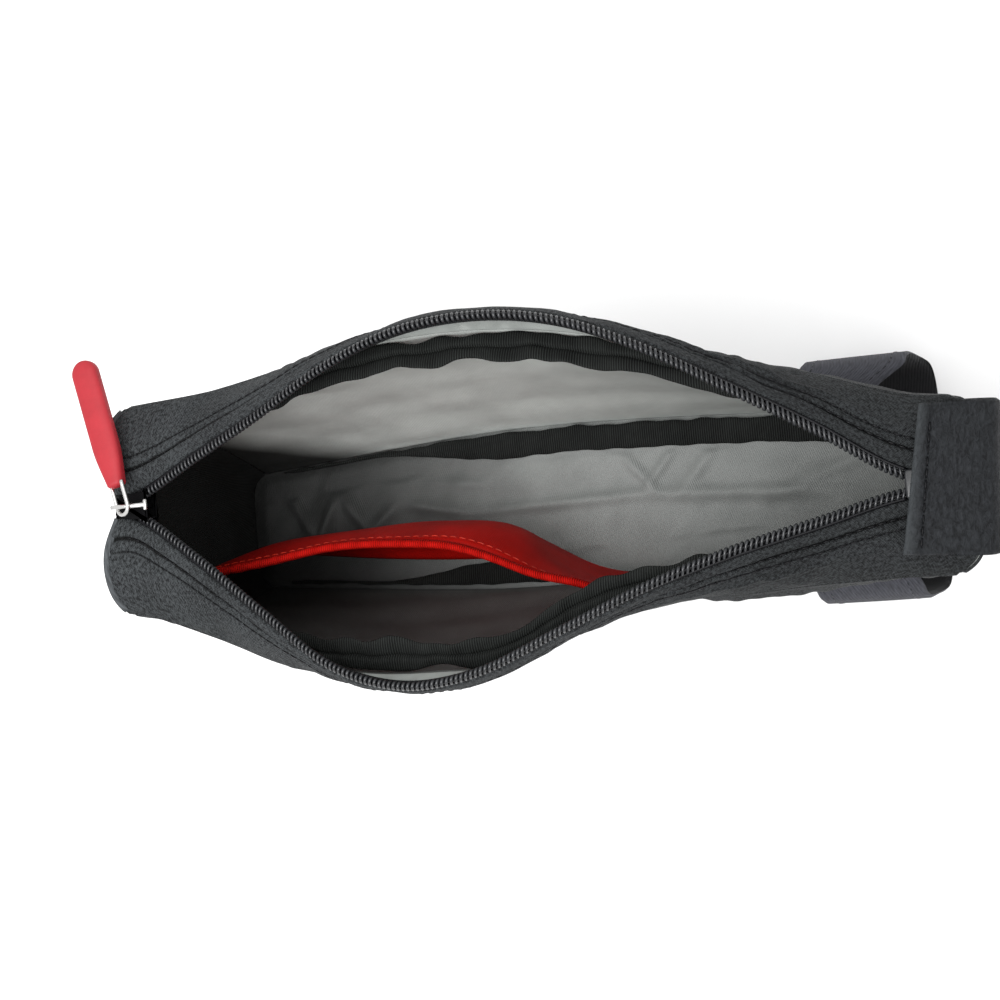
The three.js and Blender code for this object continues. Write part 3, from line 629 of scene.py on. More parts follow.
class Finish:
    """Builds one material out of nodes"""

    def __init__(self, name):
        self.material = bpy.data.materials.new(name)
        self.material.use_nodes = True
        self.tree = self.material.node_tree
        self.tree.nodes.clear()

    def node(self, kind, values=None, output=0, stops=(), **settings):
        """Adds a node with its settings and stops first and its sockets' values after"""
        made = self.tree.nodes.new(kind)
        for key, value in settings.items():
            setattr(made, key, value)
        for number, (position, tone) in enumerate(stops):
            elements = made.color_ramp.elements
            element = elements[number] if number < len(elements) else elements.new(position)
            element.position = position
            element.color = (tone, tone, tone, 1)
        for key, value in (values or {}).items():
            if isinstance(value, Field):
                self.tree.links.new(value.socket, made.inputs[key])
            else:
                made.inputs[key].default_value = value
        return Field(self, made.outputs[output])

    def part(self, vector, axis):
        """One coordinate of a vector"""
        return self.node("ShaderNodeSeparateXYZ", {0: vector}, output=axis)

    def times(self, first, second):
        """Product of two colours or vectors, part by part"""
        return self.node("ShaderNodeVectorMath", {0: first, 1: second}, operation="MULTIPLY")

    def flat(self):
        """Lengths along and up the piece as it lies flat, and both as one vector"""
        spread = self.node("ShaderNodeUVMap", uv_map="flat")
        return self.part(spread, 0), self.part(spread, 1), spread

    def place(self):
        """Place in the bag's frame"""
        return self.node("ShaderNodeTexCoord", output="Object")

    def noise(self, vector, size, detail=2, roughness=0.5, distortion=0.0):
        values = {
            "Vector": vector,
            "Scale": 1 / size,
            "Detail": detail,
            "Roughness": roughness,
            "Distortion": distortion,
        }
        return self.node("ShaderNodeTexNoise", values, output=0)

    def sine(self, angle):
        return self.node("ShaderNodeMath", {0: angle}, operation="SINE")

    def waves(self, length, pitch):
        return self.sine(length * (2 * math.pi / pitch))

    def ramp(self, value, *stops):
        return self.node("ShaderNodeValToRGB", {0: value}, stops=stops)

    def blend(self, share, first, second):
        """Mixes two colours"""
        values = {0: share, 6: first, 7: second}
        return self.node("ShaderNodeMix", values, output=2, data_type="RGBA")

    def bump(self, height, depth, strength=1.0):
        values = {"Height": height, "Distance": depth, "Strength": strength}
        return self.node("ShaderNodeBump", values)

    def close(self, **values):
        """Gives the material its surface, with sockets named in words joined by underscores"""
        sockets = {key.replace("_", " "): value for key, value in values.items()}
        shader = self.node("ShaderNodeBsdfPrincipled", sockets)
        target = self.tree.nodes.new("ShaderNodeOutputMaterial")
        self.tree.links.new(shader.socket, target.inputs["Surface"])
        return self.material


def tone(color, factor):
    """A colour made lighter or darker"""
    return tuple(min(1.0, part * factor) for part in color[:3]) + (1.0,)


def woven_cloth(name, color, fleck, seams=()):
    """Coarse mixed-yarn cloth: dark specks over greyer threads, with painted shade towards the rear and
    in its sewn creases
    """
    finish = Finish(name)
    yarn = sizes().yarn
    along, up, spread = finish.flat()
    threads = finish.waves(along, yarn) * finish.waves(up, yarn)
    specks = finish.noise(spread, yarn * 1.25, 3, 0.78)
    patches = finish.noise(spread, 0.016, 2, 0.5)
    light = finish.ramp(specks + threads * 0.05 + patches * 0.16, (0.47, 0.0), (0.70, 1.0))
    color = finish.blend(light, tone(color, 1.0), tone(fleck, 1.0))
    # Painted shade: the cloth's colour darkens towards the rear of the bag, down to 0.62 of it
    rearward = finish.part(finish.place(), 0)
    color = finish.times(color, finish.ramp(rearward * 5 + 0.5, (0.3, 1.0), (0.85, 0.62)))
    # Painted shade: the colour darkens in the sewn creases, at each row's distance from the hem
    drift = finish.noise(spread, 0.006, 1, 0.5)
    for distance, width, depth in seams:
        offset = (up + drift * 0.0005 + (distance - 0.00025)) * (1 / width)
        color = finish.times(color, finish.ramp(offset * offset, (0.1, 1 - depth), (1.0, 1.0)))
    return finish.close(
        Base_Color=color,
        Roughness=0.8 - light * 0.12,
        Normal=finish.bump(threads * 0.4 + specks * 1.3, 0.00026),
        Specular_IOR_Level=0.2,
    )


def lining_cloth(name, color, shine, lean, stops):
    """Thin coated lining with fine diagonal lines, shaded along the bag and down by stops"""
    finish = Finish(name)
    along, up, spread = finish.flat()
    diagonal = finish.waves(along * 0.94 + up * 0.34, 0.00058)
    threads = finish.noise(spread, 0.0007, 2, 0.6)
    soft = finish.noise(spread, 0.011, 3, 0.6)
    place = finish.place()
    rearward, height = finish.part(place, 0), finish.part(place, 2)
    shading = finish.ramp(rearward * 5 + height * lean + (0.5 - 0.03 * lean), *stops)
    light = finish.ramp(soft + diagonal * 0.05 + threads * 0.10, (0.32, 0.0), (0.78, 1.0))
    return finish.close(
        Base_Color=finish.times(finish.blend(light, tone(color, 0.82), tone(color, 1.0)), shading),
        Roughness=0.5 + soft * 0.16,
        Normal=finish.bump(diagonal * 0.5 + threads * 0.5 + soft * 2.5, 0.00008),
        Specular_IOR_Level=shine,
    )


def ribbed_tape(name, color, contrast, shine):
    """Binding tape with ribs across its width"""
    finish = Finish(name)
    along, _, spread = finish.flat()
    rib = finish.waves(along, sizes().rib)
    threads = finish.noise(spread, 0.0004, 2, 0.6)
    worn = finish.noise(spread, 0.004, 2, 0.5)
    light = finish.ramp(rib * 0.30 + 0.15 + threads * 0.2 + worn * 0.4, (0.15, 0.0), (0.95, 1.0))
    return finish.close(
        Base_Color=finish.blend(light, tone(color, 1 - contrast), tone(color, 1 + 2 * contrast)),
        Roughness=0.66 + threads * 0.2,
        Normal=finish.bump(rib * 0.6 + threads * 0.35, 0.00026),
        Specular_IOR_Level=shine,
    )


def zip_cloth(name, color):
    """Zip tape with its chevron weave"""
    finish = Finish(name)
    along, up, spread = finish.flat()
    fold = finish.node("ShaderNodeMath", {0: up, 1: 0.0016}, operation="PINGPONG")
    chevron = finish.waves(along + fold, 0.0006)
    threads = finish.noise(spread, 0.00045, 2, 0.6)
    light = finish.ramp(chevron * 0.2 + threads, (0.35, 0.0), (0.8, 1.0))
    return finish.close(
        Base_Color=finish.blend(light, tone(color, 0.6), tone(color, 1.8)),
        Roughness=0.66 + threads * 0.2,
        Normal=finish.bump(chevron * 0.5 + threads, 0.0002),
        Specular_IOR_Level=0.2,
    )


def coil_nylon(name, color, shine):
    """Drawn nylon of the zip's turns and of the threads"""
    finish = Finish(name)
    wear = finish.noise(finish.place(), 0.002, 3, 0.6)
    light = finish.ramp(wear, (0.35, 0.0), (0.75, 1.0))
    return finish.close(
        Base_Color=finish.blend(light, tone(color, 0.8), tone(color, 1.4)),
        Roughness=0.24 + wear * 0.16,
        Normal=finish.bump(wear, 0.00003),
        Specular_IOR_Level=shine,
    )


def smooth_cloth(name, color, rib):
    """Smooth stretch cloth with a fine knit, with painted shade darkening it towards the front"""
    finish = Finish(name)
    along, up, spread = finish.flat()
    knit = finish.waves(along, rib) * finish.waves(up, rib * 1.4)
    threads = finish.noise(spread, 0.0006, 2, 0.6)
    soft = finish.noise(spread, 0.014, 2, 0.5)
    light = finish.ramp(soft + knit * 0.04 + threads * 0.1, (0.35, 0.0), (0.8, 1.0))
    # Painted shade: the pocket's red darkens towards the front of the bag
    shade = finish.ramp(finish.part(finish.place(), 0) * 8 + 0.9, (0.1, 0.25), (0.5, 1.0))
    return finish.close(
        Base_Color=finish.times(finish.blend(light, tone(color, 0.74), tone(color, 1.15)), shade),
        Roughness=0.5 + threads * 0.14,
        Normal=finish.bump(knit * 0.4 + threads * 0.6, 0.00009),
        Specular_IOR_Level=0.08,
    )


def grained_cloth(name, color, hem_highlight):
    """Brushed, leathery cloth with a drawn-out grain, and a painted highlight that makes it paler
    towards its folded hem
    """
    finish = Finish(name)
    along, _, spread = finish.flat()
    grain = finish.noise(finish.times(spread, (1.0, 0.5, 1.0)), 0.00095, 3, 0.66, 0.9)
    fine = finish.noise(spread, 0.0005, 2, 0.6)
    patches = finish.noise(spread, 0.014, 2, 0.5)
    # Painted highlight: the colour pales over the hem band, along the tab's folded edge
    hem = finish.ramp(along * 230 + patches * 0.3, (0.15, 1.0), (0.75, 0.0))
    light = finish.ramp(grain + fine * 0.2, (0.42, 0.0), (0.78, 1.0))
    cloth = finish.blend(light, tone(color, 0.5), tone(color, 1.7))
    return finish.close(
        Base_Color=finish.blend(hem, cloth, tone(hem_highlight, 1.0)),
        Roughness=0.62 + fine * 0.2,
        Normal=finish.bump(grain * 1.6 + fine * 0.3, 0.0005),
        Specular_IOR_Level=0.15,
    )


def strap_cloth(name, color):
    """Dense strap cloth with fine lines across it"""
    finish = Finish(name)
    along, up, spread = finish.flat()
    twill = finish.waves(up + along * 0.2, 0.0009)
    threads = finish.noise(finish.times(spread, (0.3, 1.0, 1.0)), 0.0009, 3, 0.65)
    light = finish.ramp(threads + twill * 0.06, (0.32, 0.0), (0.75, 1.0))
    return finish.close(
        Base_Color=finish.blend(light, tone(color, 0.6), tone(color, 1.4)),
        Roughness=0.7 + threads * 0.16,
        Normal=finish.bump(twill * 0.4 + threads * 0.6, 0.00016),
        Specular_IOR_Level=0.25,
    )


def plated_metal(name, color, roughness, metallic, depth, shine):
    """Plated or enamelled metal with fine handling marks"""
    finish = Finish(name)
    place = finish.place()
    marks = finish.noise(place, 0.0012, 4, 0.65)
    wear = finish.noise(place, 0.004, 2, 0.5)
    light = finish.ramp(wear, (0.3, 0.0), (0.8, 1.0))
    return finish.close(
        Base_Color=finish.blend(light, tone(color, 0.82), tone(color, 1.0)),
        Roughness=marks * roughness + roughness * 0.5,
        Metallic=metallic,
        Normal=finish.bump(marks, depth),
        Specular_IOR_Level=shine,
    )


def moulded_rubber(name, color):
    """Soft moulded rubber with a fine matt skin"""
    finish = Finish(name)
    place = finish.place()
    skin = finish.noise(place, 0.0004, 3, 0.6)
    dust = finish.noise(place, 0.006, 3, 0.6)
    light = finish.ramp(dust, (0.3, 0.0), (0.8, 1.0))
    return finish.close(
        Base_Color=finish.blend(light, tone(color, 0.86), tone(color, 1.08)),
        Roughness=0.46 + skin * 0.16,
        Normal=finish.bump(skin, 0.00006),
        Specular_IOR_Level=0.3,
    )


def plain_paper(name, color):
    """Matt sweep for the stage"""
    finish = Finish(name)
    tint = finish.noise(finish.place(), 0.4, 2, 0.5)
    return finish.close(
        Base_Color=finish.blend(tint, tone(color, 0.99), tone(color, 1.0)),
        Roughness=0.9,
        Specular_IOR_Level=0.1,
    )


# Sizes and colours

def length_property(name, description, default):
    return bpy.props.FloatProperty(
        name=name, description=description, default=default, min=0, subtype="DISTANCE", unit="LENGTH"
    )


def color_property(name, description, default):
    return bpy.props.FloatVectorProperty(
        name=name, description=description, default=default, min=0, max=1, size=3, subtype="COLOR"
    )


class FrameBagSizes(bpy.types.PropertyGroup):
    cloth: length_property("Cloth", "Thickness of the walls with their padding", 1.6 * MM)
    tape: length_property("Zip tape", "Thickness of the zip tapes", 0.7 * MM)
    pocket: length_property("Pocket cloth", "Thickness of the pocket's cloth", 0.9 * MM)
    band: length_property("Band", "Thickness of the rear tab and the straps", 1.7 * MM)
    hem: length_property("Hem", "Distance from the zip's turns to the gusset's hem", 1.2 * MM)
    stitch: length_property("Stitch", "Length of one stitch", 2.0 * MM)
    stitch_gap: length_property("Stitch gap", "Gap between two stitches", 0.6 * MM)
    thread: length_property("Thread", "Radius of the sewing thread", 0.17 * MM)
    tooth: length_property("Tooth pitch", "Distance from one turn of the zip to the next", 1.29 * MM)
    wire: length_property("Tooth wire", "Radius of the wire of the zip's turns", 0.34 * MM)
    rib: length_property("Rib", "Distance between the ribs of the binding tape", 0.66 * MM)
    yarn: length_property("Yarn", "Distance between the threads of the outer cloth", 0.62 * MM)
    wrinkle: length_property("Wrinkle", "How deep the walls' soft wrinkles are", 0.45 * MM)


class FrameBagColors(bpy.types.PropertyGroup):
    outer: color_property("Outer cloth", "Dark specks of the outer cloth", (0.0042, 0.0047, 0.0053))
    fleck: color_property("Fleck", "Greyer threads of the outer cloth", (0.046, 0.051, 0.054))
    lining: color_property("Lining", "Colour of the walls' lining", (0.54, 0.57, 0.545))
    floor_lining: color_property("Bottom lining", "Colour of the bottom's lining", (0.235, 0.245, 0.238))
    webbing: color_property("Binding", "Colour of the binding tape", (0.0105, 0.0118, 0.011))
    zip_tape: color_property("Zip tape", "Colour of the zip tapes", (0.010, 0.011, 0.012))
    coil: color_property("Zip turns", "Colour of the zip's nylon", (0.014, 0.015, 0.017))
    thread: color_property("Thread", "Colour of the black sewing thread", (0.004, 0.004, 0.005))
    pocket: color_property("Pocket", "Colour of the pocket's cloth", (0.36, 0.004, 0.002))
    pocket_thread: color_property("Pocket thread", "Thread of the pocket", (0.42, 0.025, 0.012))
    tab: color_property("Rear tab", "Colour of the brushed rear tab", (0.0105, 0.0115, 0.013))
    # The tab's paler hem colour is a painted highlight along its folded edge
    hem: color_property("Tab's hem", "Colour of the rear tab's worn hem", (0.036, 0.040, 0.043))
    # The front rim is a rounded seam edge; its paler colour is a painted highlight along the front seam
    rim: color_property("Front rim", "Colour of the front end's smooth rim", (0.055, 0.060, 0.064))
    strap: color_property("Straps", "Colour of the straps", (0.042, 0.043, 0.052))
    nickel: color_property("Nickel", "Colour of the plated wire", (0.78, 0.775, 0.76))
    enamel: color_property("Slider", "Colour of the slider's enamelled plates", (0.003, 0.003, 0.0035))
    grip: color_property("Grip", "Colour of the rubber grip", (0.34, 0.018, 0.026))
    floor: color_property("Floor", "Colour of the stage", (0.93, 0.93, 0.93))


class FrameBagStage(bpy.types.PropertyGroup):
    lens: bpy.props.FloatProperty(
        name="Lens", description="Focal length of the camera", default=54, unit="CAMERA"
    )
    soft_light: bpy.props.FloatProperty(
        name="Soft light", description="Strength of the light from all round", default=1.0
    )
    key_light: bpy.props.FloatProperty(
        name="Key light", description="Power of the large lamp", default=5.5, unit="POWER"
    )


def sizes():
    return bpy.context.scene.frame_bag_sizes


# Distances of the gussets' rows of stitches from their hems
SEAM_ROWS = {RIGHT: (4.9 * MM, 7.5 * MM), LEFT: (3.8 * MM, 6.3 * MM)}


def seam_shading_of(side):
    """Distance, half width and darkness of the painted shade in a gusset's sewn creases"""
    first, second = SEAM_ROWS[side]
    return (first, 0.5 * MM, 0.97), (second, 0.3 * MM, 0.6)


# Where the light falls off in the linings, as a place along the bag and what it keeps there
WALL_LIGHT = ((0.0, 0.06), (0.1, 1.0), (0.45, 0.94), (0.8, 0.68))
POCKET_LIGHT = ((0.1, 0.2), (0.6, 0.8))
FLOOR_LIGHT = ((0.0, 0.12), (0.18, 0.15), (0.32, 0.45), (0.46, 1.0))
END_LIGHT = ((0.0, 0.09), (0.1, 0.09))

# For each finish: its function, the material's name, its colours and its other values
FINISHES = {
    "outer": (woven_cloth, "outer_cloth", ("outer", "fleck"), ()),
    "gusset_right": (woven_cloth, "gusset_cloth_right", ("outer", "fleck"), (seam_shading_of(RIGHT),)),
    "gusset_left": (woven_cloth, "gusset_cloth_left", ("outer", "fleck"), (seam_shading_of(LEFT),)),
    "lining": (lining_cloth, "lining_cloth", ("lining",), (0.3, 5.0, WALL_LIGHT)),
    # Painted shade from the pocket: the left wall's lining takes the darker bottom lining's colour
    "pocket_lining": (
        lining_cloth, "lining_cloth_in_pocket", ("floor_lining",), (0.2, 0.0, POCKET_LIGHT)
    ),
    "floor_lining": (lining_cloth, "bottom_lining", ("floor_lining",), (0.3, 0.0, FLOOR_LIGHT)),
    "end_lining": (lining_cloth, "end_lining", ("floor_lining",), (0.1, 0.0, END_LIGHT)),
    "webbing": (ribbed_tape, "binding_tape", ("webbing",), (0.8, 0.2)),
    "rim": (strap_cloth, "rim_cloth", ("rim",), ()),
    "zip_tape": (zip_cloth, "zip_tape_cloth", ("zip_tape",), ()),
    "coil": (coil_nylon, "zip_nylon", ("coil",), (0.6,)),
    "thread": (coil_nylon, "black_thread", ("thread",), (0.15,)),
    "pocket": (smooth_cloth, "pocket_cloth", ("pocket",), (0.0006,)),
    "pocket_rib": (ribbed_tape, "pocket_binding_tape", ("pocket",), (0.3, 0.08)),
    "pocket_thread": (coil_nylon, "pocket_thread", ("pocket_thread",), (0.2,)),
    "tab": (grained_cloth, "brushed_cloth", ("tab", "hem"), ()),
    "strap": (strap_cloth, "strap_cloth", ("strap",), ()),
    # Painted shade: the straps' inner faces take the near-black thread colour
    "strap_inside_shade": (strap_cloth, "strap_lining", ("thread",), ()),
    "nickel": (plated_metal, "nickel", ("nickel",), (0.22, 1.0, 0.00001, 0.5)),
    "enamel": (plated_metal, "slider_enamel", ("enamel",), (0.6, 0.0, 0.00002, 0.05)),
    "grip": (moulded_rubber, "grip_rubber", ("grip",), ()),
    "floor": (plain_paper, "stage_paper", ("floor",), ()),
}
MADE = {}


def material_of(name):
    """The material of a finish, made at its first use"""
    if name not in MADE:
        make, title, keys, values = FINISHES[name]
        colors = (getattr(bpy.context.scene.frame_bag_colors, key) for key in keys)
        MADE[name] = make(title, *colors, *values)
    return MADE[name]


def cloth_area(points):
    """Area of a grid of points"""
    first = np.cross(points[1:, :-1] - points[:-1, :-1], points[:-1, 1:] - points[:-1, :-1])
    second = np.cross(points[1:, 1:] - points[1:, :-1], points[1:, 1:] - points[:-1, 1:])
    return 0.5 * (np.linalg.norm(first, axis=-1).sum() + np.linalg.norm(second, axis=-1).sum())


def declare_cloth(points):
    """Works out the size a sheet of cloth was cut to and its area, and keeps neither"""
    along = np.linalg.norm(np.diff(points, axis=0), axis=-1).sum(axis=0).max()
    up = np.linalg.norm(np.diff(points, axis=1), axis=-1).sum(axis=1).max()
    cut = round(float(along), 4), round(float(up), 4)
    area = min(cloth_area(points), cut[0] * cut[1])


# Points of the pieces

# Columns and rows of each sheet's grid
WALL_GRID = (260, 84)
END_GRID = (96, 80)
BOTTOM_GRID = (260, 60)
GUSSET_GRID = (330, 40)
TAPE_GRID = (400, 16)
POCKET_GRID = (220, 64)
TAB_GRID = (240, 56)
STRAP_GRID = (280, 30)
# Wavelengths of the soft waves, the share of a wall's height that its gathers reach down, and
# the width at a sheet's edges where its waves fade
WALL_WAVE = 26 * MM
END_WAVE = 20 * MM
WALL_GATHERS = 11 * MM
GATHER_REACH = 16 / 74
EDGE_EASE = 7 * MM


def wall_points(side):
    """Middle surface and outward normals of a side wall"""
    a, b = grid(*WALL_GRID)
    z = mix(BASE_MIDDLE_Z, SEAM_HEIGHT, b)
    x = mix(front_x(z), rear_x(z), a)
    across, height = wall_section(side, station_of(x), b)
    points = bag_point(x, side * across, height)
    normals = grid_normals(points, bag_core(points))
    ease = smooth_step(edge_distance(lengths_of(points)) / EDGE_EASE)
    soft = undulation(points * (1, 1, 1.6), WALL_WAVE, 11 + side) * sizes().wrinkle
    near_seam = bell(1 - b, GATHER_REACH)
    gathers = undulation(points * (1.6, 1, 0.35), WALL_GATHERS, 21 + side) * 1.4 * sizes().wrinkle
    folds = creases(points, *WALL_FOLDS[side])
    return points + normals * ((soft + gathers * near_seam + folds) * ease)[..., None], normals


# Start and end of each soft fold, in the bag's frame
RIGHT_FOLDS = (
    ((0.050, 0.032, 0.071), (0.078, 0.026, 0.052)),
    ((0.066, 0.030, 0.072), (0.092, 0.022, 0.058)),
    ((0.082, 0.026, 0.072), (0.104, 0.019, 0.064)),
    ((-0.080, 0.034, 0.066), (-0.052, 0.036, 0.048)),
    ((-0.020, 0.041, 0.060), (0.024, 0.041, 0.040)),
)
LEFT_FOLDS = (
    ((0.040, -0.033, 0.066), (0.074, -0.028, 0.046)),
    ((0.058, -0.028, 0.070), (0.094, -0.025, 0.058)),
    ((-0.070, -0.036, 0.070), (-0.040, -0.042, 0.052)),
    ((-0.040, -0.043, 0.064), (0.000, -0.041, 0.036)),
)
# Folds of each wall with their width and height
WALL_FOLDS = {RIGHT: (RIGHT_FOLDS, 3.2 * MM, 0.9 * MM), LEFT: (LEFT_FOLDS, 4 * MM, 0.8 * MM)}


def gusset_edge(side, edge_x, direction, share):
    """Height of the gusset over an end of the bag, at a share of the seam's spread"""
    at = station_of(edge_x(ZIP_HEIGHT - 4 * MM) + direction * END_ROUND)
    seam, coil = seam_across(side, at), coil_across(side, at)
    t = np.clip((1 - share) * seam / (seam - coil), 0, 1)
    return gusset_section(side, at, t)[1]


def end_points(edge_x, direction):
    """Middle surface and outward normals of the front or rear panel"""
    a, b = grid(*END_GRID)
    across = mix(-1, 1, a)

    def of_side(value):
        return np.where(across < 0, value(LEFT), value(RIGHT))

    top = of_side(lambda side: gusset_edge(side, edge_x, direction, np.abs(across)))
    height = mix(BASE_MIDDLE_Z, top, b)
    x = edge_x(height) + direction * end_round(across)
    if direction < 0:
        x = x + front_dip(across, height)
    at = station_of(edge_x(height))
    points = bag_point(x, across * of_side(lambda side: wall_section(side, at, b)[0]), height)
    normals = grid_normals(points, bag_core(points) * (0, 1, 1))
    ease = smooth_step(edge_distance(lengths_of(points)) / EDGE_EASE)
    soft = undulation(points, END_WAVE, 31 + direction) * sizes().wrinkle
    return points + normals * (soft * ease)[..., None], normals


def bottom_points():
    """Middle surface and downward normals of the bottom, flat where it sits on the tube"""
    a, b = grid(*BOTTOM_GRID)
    across = mix(-1, 1, b)
    x = mix(BASE_FRONT_X - end_round(across), BASE_REAR_X + end_round(across), a)
    y = across * base_across(station_of(x))
    points = np.stack([x, y, np.full(x.shape, BASE_MIDDLE_Z)], axis=-1)
    normals = np.zeros(points.shape)
    normals[..., 2] = -1
    return points, normals


def gusset_point(side, a, inset):
    """Points of the top gusset at a distance from the zip's turns, inset from 0 at the hem"""
    z = ZIP_HEIGHT - 4 * MM
    middle = np.clip(mix(front_x(z), rear_x(z), a), TOP_FRONT_X, TOP_REAR_X)
    share = inset(gusset_run(side, station_of(middle)))
    reach = gusset_section(side, station_of(middle), share)[0] / seam_across(side, station_of(middle))
    rounding = end_round(np.clip(reach, 0, 1))
    front = front_x(z) - rounding + front_dip(reach, z)
    x = mix(front, rear_x(z) + rounding, a)
    share = inset(gusset_run(side, station_of(x)))
    across, height = gusset_section(side, station_of(x), share)
    return bag_point(x, side * across, height)


def gusset_points(side):
    """Middle surface and outward normals of a top gusset, from the top seam to its hem"""
    a, b = grid(*GUSSET_GRID)
    hem = sizes().hem
    points = gusset_point(side, a, lambda run: b * (1 - hem / run))
    normals = grid_normals(points, bag_core(points) - np.array([0, 0, 0.03]))
    flat = lengths_of(points)
    ease = smooth_step(edge_distance(flat) / (4 * MM))
    soft = undulation(points * (1.3, 1, 1), 18 * MM, 41 + side) * 0.28 * MM
    low = 1 - smooth_step(flat[..., 1] / (11 * MM))
    gathers = undulation(points * (1.8, 0.5, 0.4), 10 * MM, 43 + side) * 0.5 * MM * low
    return points + normals * ((soft + gathers) * ease)[..., None], normals


# Zip: where its turns start and end, their size, and how their heads swell at the closing side
COIL_START, COIL_END = 0.006, 0.996
COIL_SAMPLES = 1600
COIL_HALF_WIDTH = 1.22 * MM
COIL_HALF_HEIGHT = 1.1 * MM
COIL_INSET = 0.2 * MM
COIL_RISE = 0.38 * MM
COIL_ROUNDNESS = 0.8
POINTS_A_TURN = 14
HEAD_WIDTH = 0.3
HEAD_SWELL = 0.3
CORD_POINTS = 520
# The rear stop, with the height and inset of each of its levels in millimetres
STOP_HALF_SIZE = (1.5 * MM, 3.4 * MM)
STOP_CORNER = 0.8 * MM
STOP_LEVELS = ((-1.5, 0.5), (-1.2, 0.12), (-0.9, 0), (0.9, 0), (1.3, 0.15), (1.5, 0.55))
# Distance, lift and radius of the cord inside the turns and of the row that sews them on
CORDS = ((-0.1 * MM, 0.3 * MM, 0.45 * MM), (0.95 * MM, 0.55 * MM, 0.42 * MM))
# Stations where a zip tape starts and ends, its depth below the turns and its inner edge
TAPE_RUN = (-0.024, 1.02)
TAPE_SINK = 1.05 * MM
TAPE_INNER_EDGE = 0.2 * MM
SLOPE_STEP = 0.01
# Depths of the two sewn creases in a gusset and how far their threads sink into them
SEAM_DEPTHS = (0.75 * MM, 0.3 * MM)
THREAD_SINKS = (0.45 * MM, 0.12 * MM)
FRONT_RIM_RADIUS = 1.1 * MM


def seam_relief(side, points, flat):
    """Height of the sewn creases and puckers over a gusset, deeper towards the rear"""
    gap = flat[..., 1].max() - flat[..., 1]
    spread = np.stack([flat[..., 0], gap * 0.5, np.zeros(gap.shape)], axis=-1)
    pucker = undulation(spread, 5.5 * MM, 45 + side)
    rear = smooth_step((points[..., 0] - 10 * MM) / (60 * MM))
    relief = smooth_step((SEAM_ROWS[side][0] - gap) / (0.8 * MM)) * 0.35 * MM
    for distance, depth in zip(SEAM_ROWS[side], SEAM_DEPTHS):
        groove = bell(gap - distance - pucker * 0.12 * MM, (0.42 + 0.15 * rear) * MM)
        relief = relief - groove * depth * (1 + 0.4 * pucker + 0.4 * rear)
    relief = relief + pucker * bell(gap - 6.0 * MM, 2.6 * MM) * (0.08 + 0.24 * rear) * MM
    ridge = bell(gap - 9.8 * MM - 0.8 * MM * pucker, 0.9 * MM)
    return relief + ridge * rear * 0.6 * MM


def zip_surface(side, at, distance, lift):
    """Points of the zip at a distance outside the middle of its turns, lifted off the tape"""
    run = gusset_run(side, at)
    share = 1 - distance / run
    across, height = gusset_section(side, at, share)
    across_in, height_in = gusset_section(side, at, share - SLOPE_STEP)
    slope = unit(np.stack([across - across_in, height - height_in], axis=-1))
    across, height = across + slope[..., 1] * lift, height - slope[..., 0] * lift
    return bag_point(station_x(at), side * across, height)


def coil_lengths(side):
    """Stations along the middle of the zip's turns and the length up to each"""
    at = np.linspace(COIL_START, COIL_END, COIL_SAMPLES)
    return at, lengths_along(zip_surface(side, at, 0.0, 0.0))


def coil_stations(side, count):
    """Stations of evenly spaced points along the middle of the zip's turns"""
    at, lengths = coil_lengths(side)
    return np.interp(np.linspace(0, lengths[-1], count), lengths, at)


# Bindings: points a rib, how much a rib swells, and the runs, tilts and widths of both kinds
POINTS_A_RIB = 3
RIB_SWELL = 0.05
BINDING_WIDTH = 7.5 * MM
TOP_BINDING_RUN = (-92 * MM, 100 * MM)
TOP_BINDING_TILT = (-0.12, 0.42)
BASE_BINDING_RUN = (-90 * MM, 98 * MM)
BASE_BINDING_Z = 4.6 * MM
BASE_BINDING_TILT = -0.06
NARROWED = 0.14


def top_root(side, at):
    """Across, height and tilt of the top seam that a binding stands on"""
    tilt = mix(*TOP_BINDING_TILT, middle_bump(at))
    return seam_across(side, at), seam_height(at) - 1 * MM, tilt


def base_root(side, at):
    """Across, height and tilt of the base seam that a binding stands on"""
    return base_across(at), np.full(at.shape, BASE_BINDING_Z), np.full(at.shape, BASE_BINDING_TILT)


def full_width(side, x):
    """Share of a top binding's width, which is the same all along"""
    return np.ones_like(x)


def narrowed_width(side, x):
    """Share of a base binding's width: narrow at the front, and on the left also at the rear"""
    width = mix(NARROWED, 1.0, smooth_step((x + 62 * MM) / (46 * MM)))
    if side == LEFT:
        width = width * mix(1, NARROWED, smooth_step((x + 8 * MM) / (14 * MM)))
    return width


